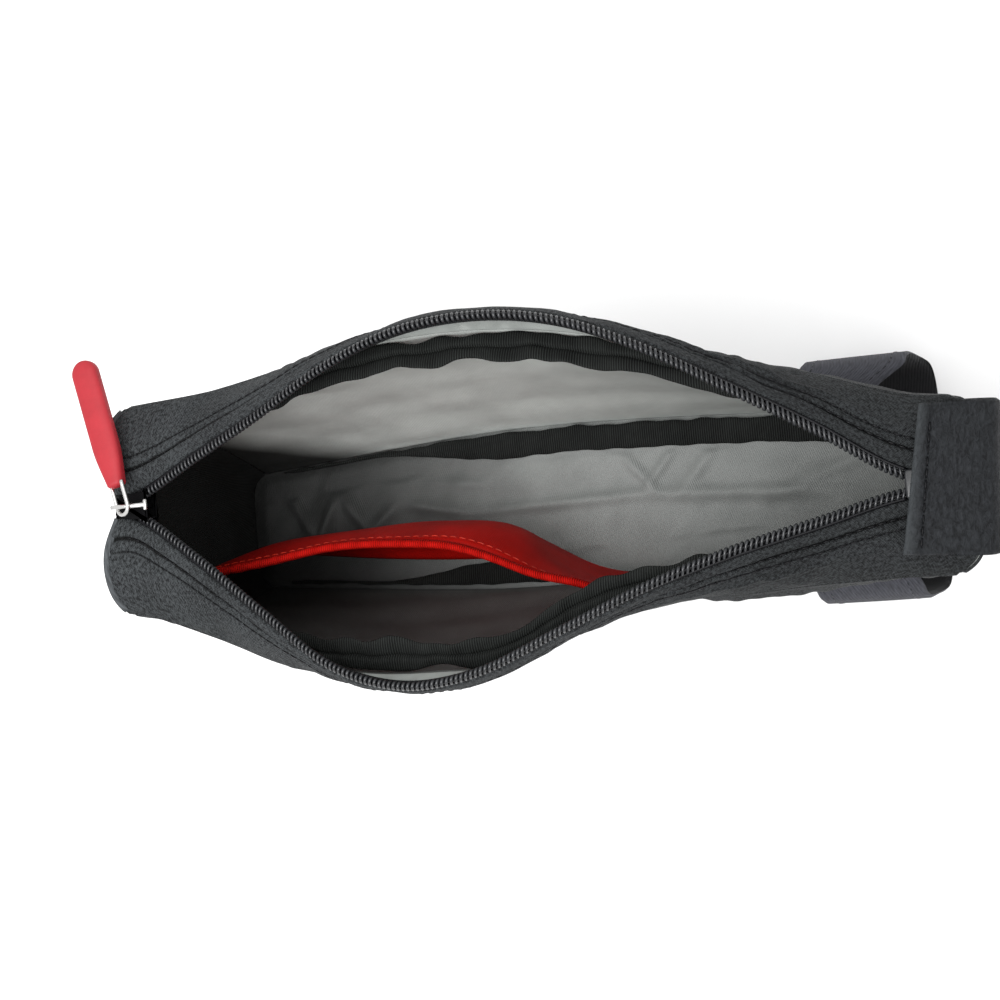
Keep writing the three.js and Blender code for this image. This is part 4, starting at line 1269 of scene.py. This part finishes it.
def binding_rings(side, root, run, profile, seed, gathers, width):
    """Rings of a bound seam edge that stands into the bag from its seam"""
    start_x, end_x = run
    rib = sizes().rib
    columns = int((end_x - start_x) / rib * POINTS_A_RIB)
    x = np.linspace(start_x, end_x, columns + 1)
    across, height, tilt = root(side, station_of(x))
    line = np.stack([x, np.zeros(x.shape), np.zeros(x.shape)], axis=-1)
    wave = 0.8 * MM * np.sin(x / (7 * MM)) * np.sin(x / (17 * MM) + side)
    wave = wave + undulation(line, 9 * MM, seed) * gathers * 0.7 * MM
    scallop = undulation(line, 10.5 * MM, seed + 1) * gathers * 1.2 * MM
    crimp = undulation(line, 7 * MM, seed + 2) * gathers * 0.5 * MM
    edge = undulation(line, 10.5 * MM, seed + 3) * gathers * 1.0 * MM
    ends = smooth_step(np.minimum(x - start_x, end_x - x) / (6 * MM))
    ridge = 1 + RIB_SWELL * np.sin(2 * np.pi * (x - start_x) / rib)
    rings = []
    for along, over in np.array(profile) * MM:
        share = along / BINDING_WIDTH
        reach = (along * (0.55 + 0.45 * ends) + scallop * share**2) * width(side, x)
        rise = over * ridge + (wave * share + crimp * math.sin(math.pi * share)) * ends
        inward = 1.5 * MM + reach + edge * (1 - share) ** 2
        section_across = across - np.cos(tilt) * inward + np.sin(tilt) * rise
        section_height = height + np.sin(tilt) * inward + np.cos(tilt) * rise
        rings.append(bag_point(x, side * section_across, section_height))
    return np.stack(rings, axis=1)


# Closed sections of the binding tape, as distance from the seam and height in millimetres
FOLDED_PROFILE = (
    (0.0, 0.0), (0.1, 0.6), (1.0, 0.95), (2.2, 1.05), (3.0, 0.95), (3.35, 0.55), (3.45, -0.05),
    (3.7, -0.15), (3.95, 0.30), (4.6, 0.55), (5.8, 0.60), (6.8, 0.48), (7.35, 0.22), (7.5, -0.1),
    (7.3, -0.45), (6.4, -0.7), (4.0, -0.85), (1.6, -0.85), (0.3, -0.6),
)
PLAIN_PROFILE = (
    (0.0, 0.0), (0.1, 0.5), (1.0, 0.8), (2.6, 0.88), (4.4, 0.85), (6.0, 0.75), (7.0, 0.5),
    (7.45, 0.15), (7.4, -0.25), (6.8, -0.6), (5.0, -0.8), (2.6, -0.88), (0.8, -0.75), (0.1, -0.4),
)


def pocket_point(a, b):
    """Points of the slip pocket, from its foot to its mouth"""
    height = POCKET_MOUTH_Z - POCKET_FOOT_Z
    top = POCKET_MOUTH_Z - height * pocket_value("sink", a)
    z = mix(POCKET_FOOT_Z, top, b)
    x = mix(front_x(z) - POCKET_FRONT_REACH, POCKET_REAR_X, a)
    wall = wall_section(LEFT, station_of(x), z / SEAM_HEIGHT)[0]
    belly, mouth = pocket_value("belly", a), pocket_value("mouth", a)
    depth = POCKET_DEPTH * belly * np.sin(np.pi * b * 0.62) ** 0.8 * mix(1, mouth / belly, b**4)
    inset = mix(*POCKET_FOOT_INSET, smooth_step((a - 0.7) / 0.3)) * (1 - b) ** 2
    return bag_point(x, -(wall - POCKET_WALL_GAP - depth - inset), z)


def tab_path(count):
    """Route of the rear tab from its hem over the rear edge and down the rear wall"""
    edge = TOP_REAR_X + END_ROUND
    middle = ZIP_HEIGHT / 2
    knots = (
        (TAB_START_X, ZIP_HEIGHT + 4 * MM),
        (mix(TAB_START_X, edge, 0.6), ZIP_HEIGHT + 3.6 * MM),
        (edge + 1.7 * MM, ZIP_HEIGHT + 1.5 * MM),
        (edge + TAB_CLEARANCE + 1.2 * MM, SEAM_HEIGHT - 6 * MM),
        (rear_x(middle) + END_ROUND + TAB_CLEARANCE + 0.4 * MM, middle),
        (rear_x(TAB_FOOT_Z) + END_ROUND + TAB_CLEARANCE, TAB_FOOT_Z),
    )
    return smooth_path(knots, count)


def strap_points(centre_x, lead):
    """Middle surface and outward normals of a strap that goes down round the tube"""
    shares = np.linspace(0, 1, STRAP_SAMPLES)
    angle = mix(-STRAP_END, 1 + STRAP_END, shares) * np.pi
    y = (STRAP_HALF_SPAN - sizes().band / 2) * squared(np.cos(angle), STRAP_SQUARENESS)
    low = squared(np.sin(-STRAP_END * np.pi), STRAP_SQUARENESS)
    depth = (squared(np.sin(angle), STRAP_SQUARENESS) - low) / (1 - low)
    z = -sizes().band / 2 - STRAP_GAP - STRAP_DROP * depth
    near_end = 1 - smooth_step(2 * np.minimum(shares, 1 - shares) / STRAP_LEAD_SPAN)
    start = np.where(y < 0, lead[LEFT], lead[RIGHT]) * near_end
    path = np.column_stack([centre_x - STRAP_SLANT * (1 - depth) - start, y, z])
    lengths = lengths_along(path[:, 1:])
    columns, rows = STRAP_GRID
    even = np.linspace(0, lengths[-1], columns + 1)
    path = np.column_stack([np.interp(even, lengths, path[:, k]) for k in range(3)])
    b = np.linspace(-0.5, 0.5, rows + 1)
    points = path[:, None] + b[None, :, None] * np.array([STRAP_WIDTH, 0, 0])
    middle = points.copy()
    middle[..., 1] = 0
    middle[..., 2] = -STRAP_DROP / 2
    return points, grid_normals(points, middle)


# Operators

class FRAMEBAG_OT_walls(bpy.types.Operator):
    """Make the side walls, the end panels and the bottom"""

    bl_idname = "object.frame_bag_walls"
    bl_label = "Walls"

    def execute(self, context):
        made = {}
        for side, name in SIDE_NAMES.items():
            lining = "lining" if side == RIGHT else "pocket_lining"
            made[f"wall_{name}"] = wall_points(side), f"side_panel_{name}", lining
        made["wall_front"] = end_points(front_x, -1), "front_panel", "end_lining"
        made["wall_rear"] = end_points(rear_x, 1), "rear_panel", "lining"
        for name, ((points, normals), node, inside) in made.items():
            mesh = Mesh()
            add_cloth(mesh, points, normals, sizes().cloth, 1.2 * MM)
            piece = mesh.build(name, ("outer", inside), replaces=(node,), slot="outer_cloth")
            declare_cloth(points)
        self.bottom()
        return {"FINISHED"}

    def bottom(self):
        """The bottom keeps flat underneath, and its lining lies in soft folds over it"""
        points, normals = bottom_points()
        mesh = Mesh()
        add_cloth(mesh, points[::2, ::2], normals[::2, ::2], sizes().cloth, 0.9 * MM)
        piece = mesh.build(
            "bottom", ("outer", "outer"), replaces=("bottom_panel",), slot="outer_cloth"
        )
        ease = smooth_step(edge_distance(lengths_of(points)) / (6 * MM))
        rise = FLOOR_RISE + undulation(points * (1, 1.4, 1), 24 * MM, 61) * 0.7 * MM
        rise = rise + undulation(points * (1, 0.8, 1), 9 * MM, 62) * 0.32 * MM
        for start, end, width, depth in FLOOR_FOLDS:
            rise = rise + crease(points, start, end, width, depth)
        beside = base_across(station_of(points[..., 0])) - 9.5 * MM - np.abs(points[..., 1])
        rise = np.minimum(rise, mix(*FLOOR_CEILING, smooth_step(beside / (5 * MM))))
        lining = points - normals * (rise * ease + FLOOR_GAP)[..., None]
        folds = Mesh()
        add_cloth(folds, lining, -normals, FLOOR_CLOTH, 0.3 * MM, materials=(0, 0))
        inner = folds.build("bottom_lining", ("floor_lining",), slot="outer_cloth")
        declare_cloth(points)
        declare_cloth(lining)


# The bottom's lining: its thickness, its gap to the bottom, its rise, and the most that it may
# rise beside the bindings and away from them
FLOOR_CLOTH = 0.4 * MM
FLOOR_GAP = 0.95 * MM
FLOOR_RISE = 1.6 * MM
FLOOR_CEILING = (1.4 * MM, 6 * MM)
# Its soft folds: start, end, width and height
FLOOR_FOLDS = (
    ((-0.030, 0.000, 0.001), (0.026, 0.001, 0.001), 1.7 * MM, 2.0 * MM),
    ((0.022, 0.001, 0.001), (0.080, -0.003, 0.001), 2.2 * MM, 2.4 * MM),
    ((0.018, 0.013, 0.001), (0.028, 0.001, 0.001), 1.6 * MM, 1.8 * MM),
    ((0.034, 0.014, 0.001), (0.024, 0.002, 0.001), 1.5 * MM, 1.5 * MM),
    ((0.046, 0.013, 0.001), (0.034, 0.000, 0.001), 1.9 * MM, 1.5 * MM),
    ((0.060, -0.003, 0.001), (0.088, 0.007, 0.001), 2.4 * MM, 1.5 * MM),
    ((-0.090, 0.012, 0.001), (-0.081, -0.004, 0.001), 2.0 * MM, 1.8 * MM),
    ((-0.080, -0.006, 0.001), (-0.073, 0.009, 0.001), 1.9 * MM, 2.0 * MM),
    ((-0.072, 0.010, 0.001), (-0.062, -0.005, 0.001), 2.2 * MM, 1.8 * MM),
    ((-0.063, -0.004, 0.001), (-0.054, 0.004, 0.001), 2.0 * MM, 1.6 * MM),
    ((-0.050, 0.004, 0.001), (-0.030, 0.000, 0.001), 1.8 * MM, 1.8 * MM),
    ((-0.040, 0.010, 0.001), (-0.024, 0.008, 0.001), 1.8 * MM, 1.2 * MM),
)


class FRAMEBAG_OT_gussets(bpy.types.Operator):
    """Make the stitched strips of cloth between the walls and the zip"""

    bl_idname = "object.frame_bag_gussets"
    bl_label = "Gussets"

    def execute(self, context):
        for side, name in SIDE_NAMES.items():
            points, normals = gusset_points(side)
            relief = seam_relief(side, points, lengths_of(points))
            mesh = Mesh()
            add_cloth(mesh, points, normals, sizes().cloth, 0.9 * MM, relief=relief, from_top=True)
            stitching = Mesh()
            for distance, sink in zip(SEAM_ROWS[side], THREAD_SINKS):
                line, lift = rows_near(points, normals, distance, sizes().cloth / 2 - sink)
                add_stitches(stitching, line[8:-8], lift[8:-8], sizes().thread)
            thread = stitching.build(f"gusset_stitching_{name}", ("thread",), slot="webbing")
            # The front rim: a rounded edge whose paler colour is a painted highlight along the front
            # seam
            edge = Mesh()
            piping = points[1, 2:] + normals[1, 2:] * 0.1 * MM
            edge.add_tube(piping, FRONT_RIM_RADIUS, sides=12)
            rim = edge.build(f"front_rim_{name}", ("rim",), slot="outer_cloth")
            gusset = f"gusset_{name}"
            piece = mesh.build(
                gusset, (gusset, "lining"), replaces=(f"top_{gusset}",), slot="outer_cloth"
            )
            declare_cloth(points)
        return {"FINISHED"}


class FRAMEBAG_OT_zip(bpy.types.Operator):
    """Make the zip's tapes, its turns of nylon and its rear stop"""

    bl_idname = "object.frame_bag_zip"
    bl_label = "Zip"

    def execute(self, context):
        for side, name in SIDE_NAMES.items():
            self.tape(side, name)
            self.turns(side, name)
        self.stop()
        return {"FINISHED"}

    def tape(self, side, name):
        a, b = grid(*TAPE_GRID)
        distance = mix(TAPE_WIDTH, TAPE_INNER_EDGE, b)
        points = zip_surface(side, mix(*TAPE_RUN, a), distance, -TAPE_SINK)
        normals = grid_normals(points, bag_core(points) - np.array([0, 0, 0.03]))
        mesh = Mesh()
        add_cloth(mesh, points, normals, sizes().tape, 0.35 * MM, materials=(0, 0))
        mesh.build(
            f"zip_tape_{name}_woven", ("zip_tape",), replaces=(f"zip_tape_{name}",), slot="webbing"
        )

    def turns(self, side, name):
        """Each turn is a loop of wire that is flattened where it lies against the tape"""
        wire = sizes().wire
        turns = round(coil_lengths(side)[1][-1] / sizes().tooth)
        count = turns * POINTS_A_TURN + 1
        start = 0 if side == RIGHT else np.pi
        angle = np.arange(count) / POINTS_A_TURN * 2 * np.pi + start
        across = (COIL_HALF_WIDTH - wire) * np.cos(angle) - COIL_INSET
        lift = COIL_RISE + (COIL_HALF_HEIGHT - wire) * squared(np.sin(angle), COIL_ROUNDNESS)
        points = zip_surface(side, coil_stations(side, count), across, lift)
        head = bell(np.cos(angle) + 1, HEAD_WIDTH)
        mesh = Mesh()
        mesh.add_tube(points, wire * (1 + HEAD_SWELL * head), sides=8)
        mesh.build(f"zip_turns_{name}", ("coil",), replaces=(f"zip_coil_{name}",), slot="coil")
        cord = Mesh()
        stations = coil_stations(side, CORD_POINTS)
        for distance, lift, radius in CORDS:
            cord.add_tube(zip_surface(side, stations, distance, lift), radius, sides=8)
        cord.build(f"zip_cord_{name}", ("thread",), slot="coil")

    def stop(self):
        centre = bag_point(station_x(1.003), np.array(0.0), ZIP_HEIGHT)
        outline = rounded_outline(*STOP_HALF_SIZE, STOP_CORNER, 6)
        mesh = Mesh()
        add_loft(mesh, np.array(slab(outline, STOP_LEVELS)) + centre)
        mesh.build("zip_rear_stop", ("coil",), replaces=("zip_stop",), slot="coil")


def rounded_outline(half_x, half_y, radius, steps):
    """Corner points of a rectangle with round corners"""
    corners = ((1, 1, 0), (-1, 1, 90), (-1, -1, 180), (1, -1, 270))
    points = []
    for sign_x, sign_y, start in corners:
        for step in range(steps + 1):
            angle = math.radians(start + 90 * step / steps)
            points.append(
                (sign_x * (half_x - radius) + radius * math.cos(angle),
                 sign_y * (half_y - radius) + radius * math.sin(angle))
            )
    return np.array(points)


class FRAMEBAG_OT_bindings(bpy.types.Operator):
    """Make the ribbed tape that binds the seams inside the bag"""

    bl_idname = "object.frame_bag_bindings"
    bl_label = "Bindings"

    def execute(self, context):
        for side, name in SIDE_NAMES.items():
            top, base = Mesh(), Mesh()
            add_loft(top, binding_rings(
                side, top_root, TOP_BINDING_RUN, FOLDED_PROFILE, 71 + side, 1.0, full_width
            ))
            add_loft(base, binding_rings(
                side, base_root, BASE_BINDING_RUN, PLAIN_PROFILE, 81 + side, 0.35, narrowed_width
            ))
            for mesh, node in (top, f"top_binding_{name}"), (base, f"base_binding_{name}"):
                mesh.build(f"{node}_tape", ("webbing",), replaces=(node,), slot="webbing")
        return {"FINISHED"}


class FRAMEBAG_OT_pocket(bpy.types.Operator):
    """Make the red slip pocket with its bound mouth"""

    bl_idname = "object.frame_bag_pocket"
    bl_label = "Pocket"

    def execute(self, context):
        a, b = grid(*POCKET_GRID)
        points = pocket_point(a, mix(0.0, 0.97, b))
        normals = grid_normals(points, points - np.array([0, 1, 0.3]))
        ease = smooth_step(edge_distance(lengths_of(points), (True, True, True, False)) / (5 * MM))
        soft = undulation(points, 28 * MM, 91) * 0.4 * MM
        for start, end, width, depth in POCKET_FOLDS:
            soft = soft + crease(points, start, end, width, depth)
        points = points + normals * (soft * ease)[..., None]
        mesh = Mesh()
        add_cloth(mesh, points, normals, sizes().pocket, 0.4 * MM, materials=(0, 0))
        stitching = Mesh()
        line, lift = rows_near(points, normals, 1.9 * MM, sizes().pocket / 2)
        add_stitches(stitching, line[6:-6], lift[6:-6], POCKET_THREAD)
        thread = stitching.build("pocket_stitching", ("pocket_thread",), slot="pocket_cloth")
        rim = self.rim()
        piece = mesh.build("pocket", ("pocket",), replaces=("pocket_panel",), slot="pocket_cloth")
        declare_cloth(points)
        return {"FINISHED"}

    def rim(self):
        """The mouth's binding is a folded tape, higher than it is thick"""
        columns = int((POCKET_REAR_X - TOP_FRONT_X) / sizes().rib * POINTS_A_RIB)
        a = np.linspace(0, 1, columns + 1)
        centre = pocket_point(a, np.ones(a.shape))
        ridge = 1 + RIB_SWELL * np.sin(2 * np.pi * np.arange(columns + 1) / POINTS_A_RIB)
        wave = undulation(centre, 14 * MM, 95) * 0.3 * MM
        rings = []
        for angle in np.linspace(0, 2 * np.pi, 16, endpoint=False):
            offset = np.zeros(centre.shape)
            offset[:, 1] = squared(math.cos(angle), 0.7) * 1.15 * MM * ridge
            offset[:, 2] = math.sin(angle) * 1.9 * MM * ridge - 0.2 * MM + wave
            rings.append(centre + offset)
        mesh = Mesh()
        add_loft(mesh, np.stack(rings, axis=1))
        return mesh.build(
            "pocket_rim", ("pocket_rib",), replaces=("pocket_binding",), slot="pocket_cloth"
        )


# Soft folds of the pocket: start, end, width and height
POCKET_FOLDS = (
    ((0.010, -0.014, 0.052), (0.022, -0.022, 0.030), 2.4 * MM, 1.3 * MM),
    ((0.000, -0.008, 0.054), (0.012, -0.018, 0.036), 2.2 * MM, 0.8 * MM),
    ((0.018, -0.020, 0.052), (0.028, -0.028, 0.034), 2.0 * MM, 1.2 * MM),
    ((-0.078, -0.014, 0.050), (-0.066, -0.010, 0.034), 2.4 * MM, 0.8 * MM),
)


class FRAMEBAG_OT_rear_tab(bpy.types.Operator):
    """Make the brushed tab over the zip's rear end"""

    bl_idname = "object.frame_bag_rear_tab"
    bl_label = "Rear tab"

    def execute(self, context):
        path = tab_path(TAB_GRID[0] + 1)
        a, b = grid(*TAB_GRID)
        half = TAB_HALF_WIDTH * mix(1, 1.06, a)
        across = mix(-1, 1, b) * half
        skew = TAB_SKEW * across * (1 - a) ** 4
        points = bag_point(path[:, 0][:, None] + skew, across + TAB_OFFSET, path[:, 1][:, None] + 0 * b)
        inside = points.copy()
        inside[..., 0] = 0
        inside[..., 2] = ZIP_HEIGHT / 2
        normals = grid_normals(points, inside)
        hem_gap = lengths_of(points)[..., 0]
        fold = smooth_step((TAB_HEM + 0.3 * MM - hem_gap) / (0.6 * MM)) * 0.35 * MM
        groove = bell(hem_gap - TAB_HEM, 0.35 * MM) * 0.3 * MM
        soft = undulation(points, 13 * MM, 101) * 0.22 * MM
        relief = fold - groove + np.clip(soft, -0.25 * MM, 0.3 * MM)
        mesh = Mesh()
        add_cloth(mesh, points, normals, sizes().band, 0.8 * MM, materials=(0, 0), relief=relief)
        stitching = Mesh()
        column = int(np.argmin(np.abs(hem_gap[:, 0] - TAB_HEM)))
        line = points[column] + normals[column] * (sizes().band / 2 + 0.2 * MM)
        add_stitches(stitching, line[3:-3], normals[column][3:-3], sizes().thread)
        thread = stitching.build("tab_stitching", ("thread",), slot="webbing")
        piece = mesh.build("rear_tab_cloth", ("tab",), replaces=("rear_tab",), slot="brushed_cloth")
        declare_cloth(points)
        return {"FINISHED"}


class FRAMEBAG_OT_straps(bpy.types.Operator):
    """Make the two straps that hold the bag on the tube"""

    bl_idname = "object.frame_bag_straps"
    bl_label = "Straps"

    def execute(self, context):
        straps = (
            ("rear_strap", REAR_STRAP_X, REAR_STRAP_LEAD),
            ("front_strap", FRONT_STRAP_X, FRONT_STRAP_LEAD),
        )
        for name, centre_x, lead in straps:
            points, normals = strap_points(centre_x, lead)
            soft = undulation(points, 0.03, 111) * 0.12 * MM
            mesh = Mesh()
            add_cloth(mesh, points, normals, sizes().band, 0.5 * MM, relief=soft)
            stitching = Mesh()
            for row in (STRAP_SEAM, -STRAP_SEAM - 1):
                line = points[:, row] + normals[:, row] * sizes().band / 2
                add_stitches(stitching, line[4:-4], normals[4:-4, row], STRAP_THREAD)
            thread = stitching.build(f"{name}_stitching", ("thread",), slot="webbing")
            # The inner faces get the near-black painted shade
            piece = mesh.build(
                f"{name}_band", ("strap", "strap_inside_shade"), replaces=(name,), slot="webbing"
            )
            declare_cloth(points)
        return {"FINISHED"}


class FRAMEBAG_OT_slider(bpy.types.Operator):
    """Make the slider with its bar, the wire loop and the grip of the pull"""

    bl_idname = "object.frame_bag_slider"
    bl_label = "Slider and pull"

    def execute(self, context):
        self.plates()
        self.bar()
        self.loop()
        self.grip()
        return {"FINISHED"}

    def outline(self):
        """The plates taper towards the zip's closed end"""
        half = SLIDER_LENGTH / 2
        neck = SLIDER_HALF_WIDTH * SLIDER_NECK
        share = np.linspace(0, 1, 14)
        x = -half * (1 - share) ** 2 - 0.4 * half * share * (1 - share) + half * share**2
        y = neck * (1 - share) ** 2 + 2 * SLIDER_HALF_WIDTH * share * (1 - share)
        y = y + SLIDER_HALF_WIDTH * share**2
        lower = np.column_stack([x, -y])
        upper = np.column_stack([x[::-1], y[::-1]])
        return np.vstack([lower, upper])

    def plates(self):
        mesh = Mesh()
        outline = inset_outline(self.outline(), PLATE_INSET)
        half = SLIDER_GAP / 2
        for sign in (-1, 1):
            rings = np.array(slab(outline, PLATE_LEVELS, half))
            rings[..., 2] *= sign
            add_loft(mesh, rings + SLIDER_PLACE)
            for side in (-1, 1):
                edge = inset_outline(self.outline(), RAIL_INSET)
                edge = edge[1:13] if side == -1 else edge[15:27]
                rail = np.column_stack([edge, np.full(len(edge), sign * (half - 0.3 * MM))])
                mesh.add_tube(rail + SLIDER_PLACE, RAIL_RADIUS, sides=8)
        post_x = SLIDER_LENGTH * 0.3
        post = np.array([[post_x, 0, -half - 0.4 * MM], [post_x, 0, half + 0.4 * MM]])
        mesh.add_tube(post + SLIDER_PLACE, POST_RADIUS, sides=12)
        mesh.build("slider_plates", ("enamel",), replaces=("slider_body",), slot="coil")

    def bar(self):
        low = SLIDER_GAP / 2 + SLIDER_PLATE - 0.3 * MM
        mesh = Mesh()
        for foot_x in BAR_FEET_X:
            foot = np.array([[foot_x, 0, low], [foot_x, 0, BAR_AXIS - 0.2 * MM]])
            mesh.add_tube(foot + SLIDER_PLACE, BAR_RADIUS * 0.7, sides=16)
        end_x = BAR_LENGTH / 2 + 1 * MM
        reach = np.array([-3.6 * MM, -3.4 * MM, 0, end_x - 0.2 * MM, end_x])
        line = np.column_stack([reach, np.zeros(5), np.full(5, BAR_AXIS)])
        mesh.add_tube(line + SLIDER_PLACE, BAR_RADIUS * np.array([0.3, 0.7, 0.75, 0.75, 0.5]), sides=16)
        span = BAR_END_SPAN / 2 - 0.3 * MM
        reach = np.array([-span, -span + 0.2 * MM, 0, span - 0.2 * MM, span])
        line = np.column_stack([np.full(5, end_x), reach, np.full(5, BAR_AXIS)])
        mesh.add_tube(line + SLIDER_PLACE, BAR_END_RADIUS * np.array([0.65, 1, 1, 1, 0.65]), sides=16)
        mesh.build("slider_bar", ("nickel",), slot="nickel")

    def on_bar(self, points):
        """From the pull's own frame to where it lies at rest"""
        turn = Matrix.Rotation(-PULL_DROOP, 3, "X") @ Matrix.Rotation(PULL_YAW, 3, "Z")
        return points @ np.array(turn).T + SLIDER_PLACE + np.array([0, 0, BAR_AXIS])

    def loop(self):
        straight = LOOP_LENGTH - LOOP_HALF_WIDTH + 1.5 * MM
        angles = np.pi + np.pi * np.arange(9) / 8
        bend = np.column_stack([np.cos(angles), 0.9 * np.sin(angles)]) * LOOP_HALF_WIDTH
        flat = np.vstack([[-LOOP_HALF_WIDTH, straight], bend, [LOOP_HALF_WIDTH, straight]])
        knots = np.column_stack([
            flat[:, 0] * math.cos(LOOP_TILT), flat[:, 1] + 0.1 * MM, flat[:, 0] * math.sin(LOOP_TILT)
        ])
        mesh = Mesh()
        mesh.add_tube(self.on_bar(smooth_path(knots, 90)), LOOP_WIRE, sides=14)
        mesh.build("pull_wire", ("nickel",), body="pull", replaces=("pull_loop",), slot="nickel")

    def grip(self):
        """The grip has a ridge down its middle and a round far end"""
        start = LOOP_LENGTH - LOOP_HALF_WIDTH + 0.45 * MM
        end = start + GRIP_LENGTH
        near = np.array([0, 0.04, 0.15, 0.4, 0.8]) * MM
        far = end - GRIP_HALF_WIDTH * (1 - np.sin(np.linspace(0, np.pi / 2, 16)))
        y = np.concatenate([start + near, np.linspace(start + 1.4 * MM, far[0] - 1 * MM, 40), far])
        swell = smooth_step((y - start) / (12 * MM)) ** 0.7
        half_width = mix(GRIP_HALF_WIDTH * 0.6, GRIP_HALF_WIDTH, swell)
        past = np.clip((y - far[0]) / GRIP_HALF_WIDTH, 0, 1)
        round_end = np.sqrt(np.maximum(1 - past**2, 0.0009))
        round_start = np.sqrt(np.maximum(1 - (1 - np.clip((y - start) / (0.8 * MM), 0, 1)) ** 2, 0.01))
        half_width = half_width * round_end * round_start
        half_height = GRIP_THICKNESS / 2 * round_end**0.6 * round_start
        angles = np.linspace(0, 2 * np.pi, 48, endpoint=False)
        power = np.where(np.sin(angles) > 0, 0.78, 0.5)
        across, lift = squared(np.cos(angles), power), squared(np.sin(angles), power)
        rings = np.stack(
            np.broadcast_arrays(
                half_width[:, None] * across, y[:, None], half_height[:, None] * lift
            ),
            axis=-1,
        )
        mesh = Mesh()
        add_loft(mesh, self.on_bar(rings))
        mesh.build("grip", ("grip",), body="pull", replaces=("pull_grip",), slot="pull_rubber")


STAGE_HALF_WIDTH = 3
STAGE_GAP = 3.2 * MM
# Name, place, width and share of the key light's power of each lamp
LAMPS = (
    ("key", (-0.10, -0.14, 0.70), 0.4, 0.75),
    ("fill", (0.12, 0.10, 0.75), 0.5, 0.3),
)
LAMPS_AIM = Vector((0, 0, 50 * MM))
CAMERA_TILT = math.radians(17.5)
CAMERA_TURN = math.radians(5)
CAMERA_PLACE = Vector((114.43, -8.81, 432.87)) * MM
SENSOR_WIDTH = 36


class FRAMEBAG_OT_stage(bpy.types.Operator):
    """Make the floor, the soft light and the camera"""

    bl_idname = "object.frame_bag_stage"
    bl_label = "Stage"

    def execute(self, context):
        stage = context.scene.frame_bag_stage
        self.floor()
        self.lights(context, stage)
        self.camera(context, stage)
        return {"FINISHED"}

    def floor(self):
        mesh = Mesh()
        a, b = grid(2, 2)
        x, y = (mix(-STAGE_HALF_WIDTH, STAGE_HALF_WIDTH, share) for share in (a, b))
        points = np.stack([x, y, np.full(a.shape, -STRAP_DROP - STAGE_GAP)], axis=-1)
        data = bpy.data.meshes.new("floor")
        mesh.add_grid(points, lengths_of(points))
        data.from_pydata(mesh.vertices, [], mesh.faces)
        data.materials.append(material_of("floor"))
        floor = bpy.data.objects.new("floor", data)
        bpy.context.scene.collection.objects.link(floor)

    def lights(self, context, stage):
        world = bpy.data.worlds.new("soft_light")
        world.use_nodes = True
        background = world.node_tree.nodes["Background"]
        background.inputs["Color"].default_value = (1, 1, 1, 1)
        background.inputs["Strength"].default_value = stage.soft_light
        context.scene.world = world
        for name, place, width, share in LAMPS:
            data = bpy.data.lights.new(name, "AREA")
            data.shape = "DISK"
            data.size = width
            data.energy = stage.key_light * share
            lamp = bpy.data.objects.new(name, data)
            lamp.location = place
            lamp.rotation_euler = (LAMPS_AIM - lamp.location).to_track_quat("-Z", "Y").to_euler()
            context.scene.collection.objects.link(lamp)

    def camera(self, context, stage):
        data = bpy.data.cameras.new("camera")
        data.lens = stage.lens
        data.sensor_width = SENSOR_WIDTH
        data.clip_start = 0.01
        camera = bpy.data.objects.new("camera", data)
        up = Vector((math.sin(CAMERA_TURN), math.cos(CAMERA_TURN), 0))
        right = Vector((up.y, -up.x, -math.tan(CAMERA_TILT))).normalized()
        back = right.cross(up)
        matrix = Matrix((right, up, back)).transposed().to_4x4()
        matrix.translation = CAMERA_PLACE
        camera.matrix_world = matrix
        context.scene.collection.objects.link(camera)
        context.scene.camera = camera
        context.scene.view_settings.view_transform = "Standard"


class FRAMEBAG_PT_panel(bpy.types.Panel):
    bl_idname = "FRAMEBAG_PT_panel"
    bl_label = "Frame bag"
    bl_space_type = "VIEW_3D"
    bl_region_type = "UI"
    bl_category = "Frame bag"

    def draw(self, context):
        layout = self.layout
        for group in ("frame_bag_sizes", "frame_bag_colors", "frame_bag_stage"):
            settings = getattr(context.scene, group)
            box = layout.box()
            for key in settings.__annotations__:
                box.prop(settings, key)
        for operator in OPERATORS:
            layout.operator(operator.bl_idname)


OPERATORS = (
    FRAMEBAG_OT_stage,
    FRAMEBAG_OT_walls,
    FRAMEBAG_OT_gussets,
    FRAMEBAG_OT_zip,
    FRAMEBAG_OT_bindings,
    FRAMEBAG_OT_pocket,
    FRAMEBAG_OT_rear_tab,
    FRAMEBAG_OT_straps,
    FRAMEBAG_OT_slider,
)
GROUPS = (
    ("frame_bag_sizes", FrameBagSizes),
    ("frame_bag_colors", FrameBagColors),
    ("frame_bag_stage", FrameBagStage),
)


def register():
    for key, group in GROUPS:
        bpy.utils.register_class(group)
        setattr(bpy.types.Scene, key, bpy.props.PointerProperty(type=group))
    for operator in OPERATORS:
        bpy.utils.register_class(operator)
    bpy.utils.register_class(FRAMEBAG_PT_panel)


def unregister():
    bpy.utils.unregister_class(FRAMEBAG_PT_panel)
    for operator in reversed(OPERATORS):
        bpy.utils.unregister_class(operator)
    for key, group in reversed(GROUPS):
        delattr(bpy.types.Scene, key)
        bpy.utils.unregister_class(group)


def main():
    register()
    for operator in OPERATORS:
        family, name = operator.bl_idname.split(".")
        getattr(getattr(bpy.ops, family), name)()


if __name__ == "__main__":
    main()
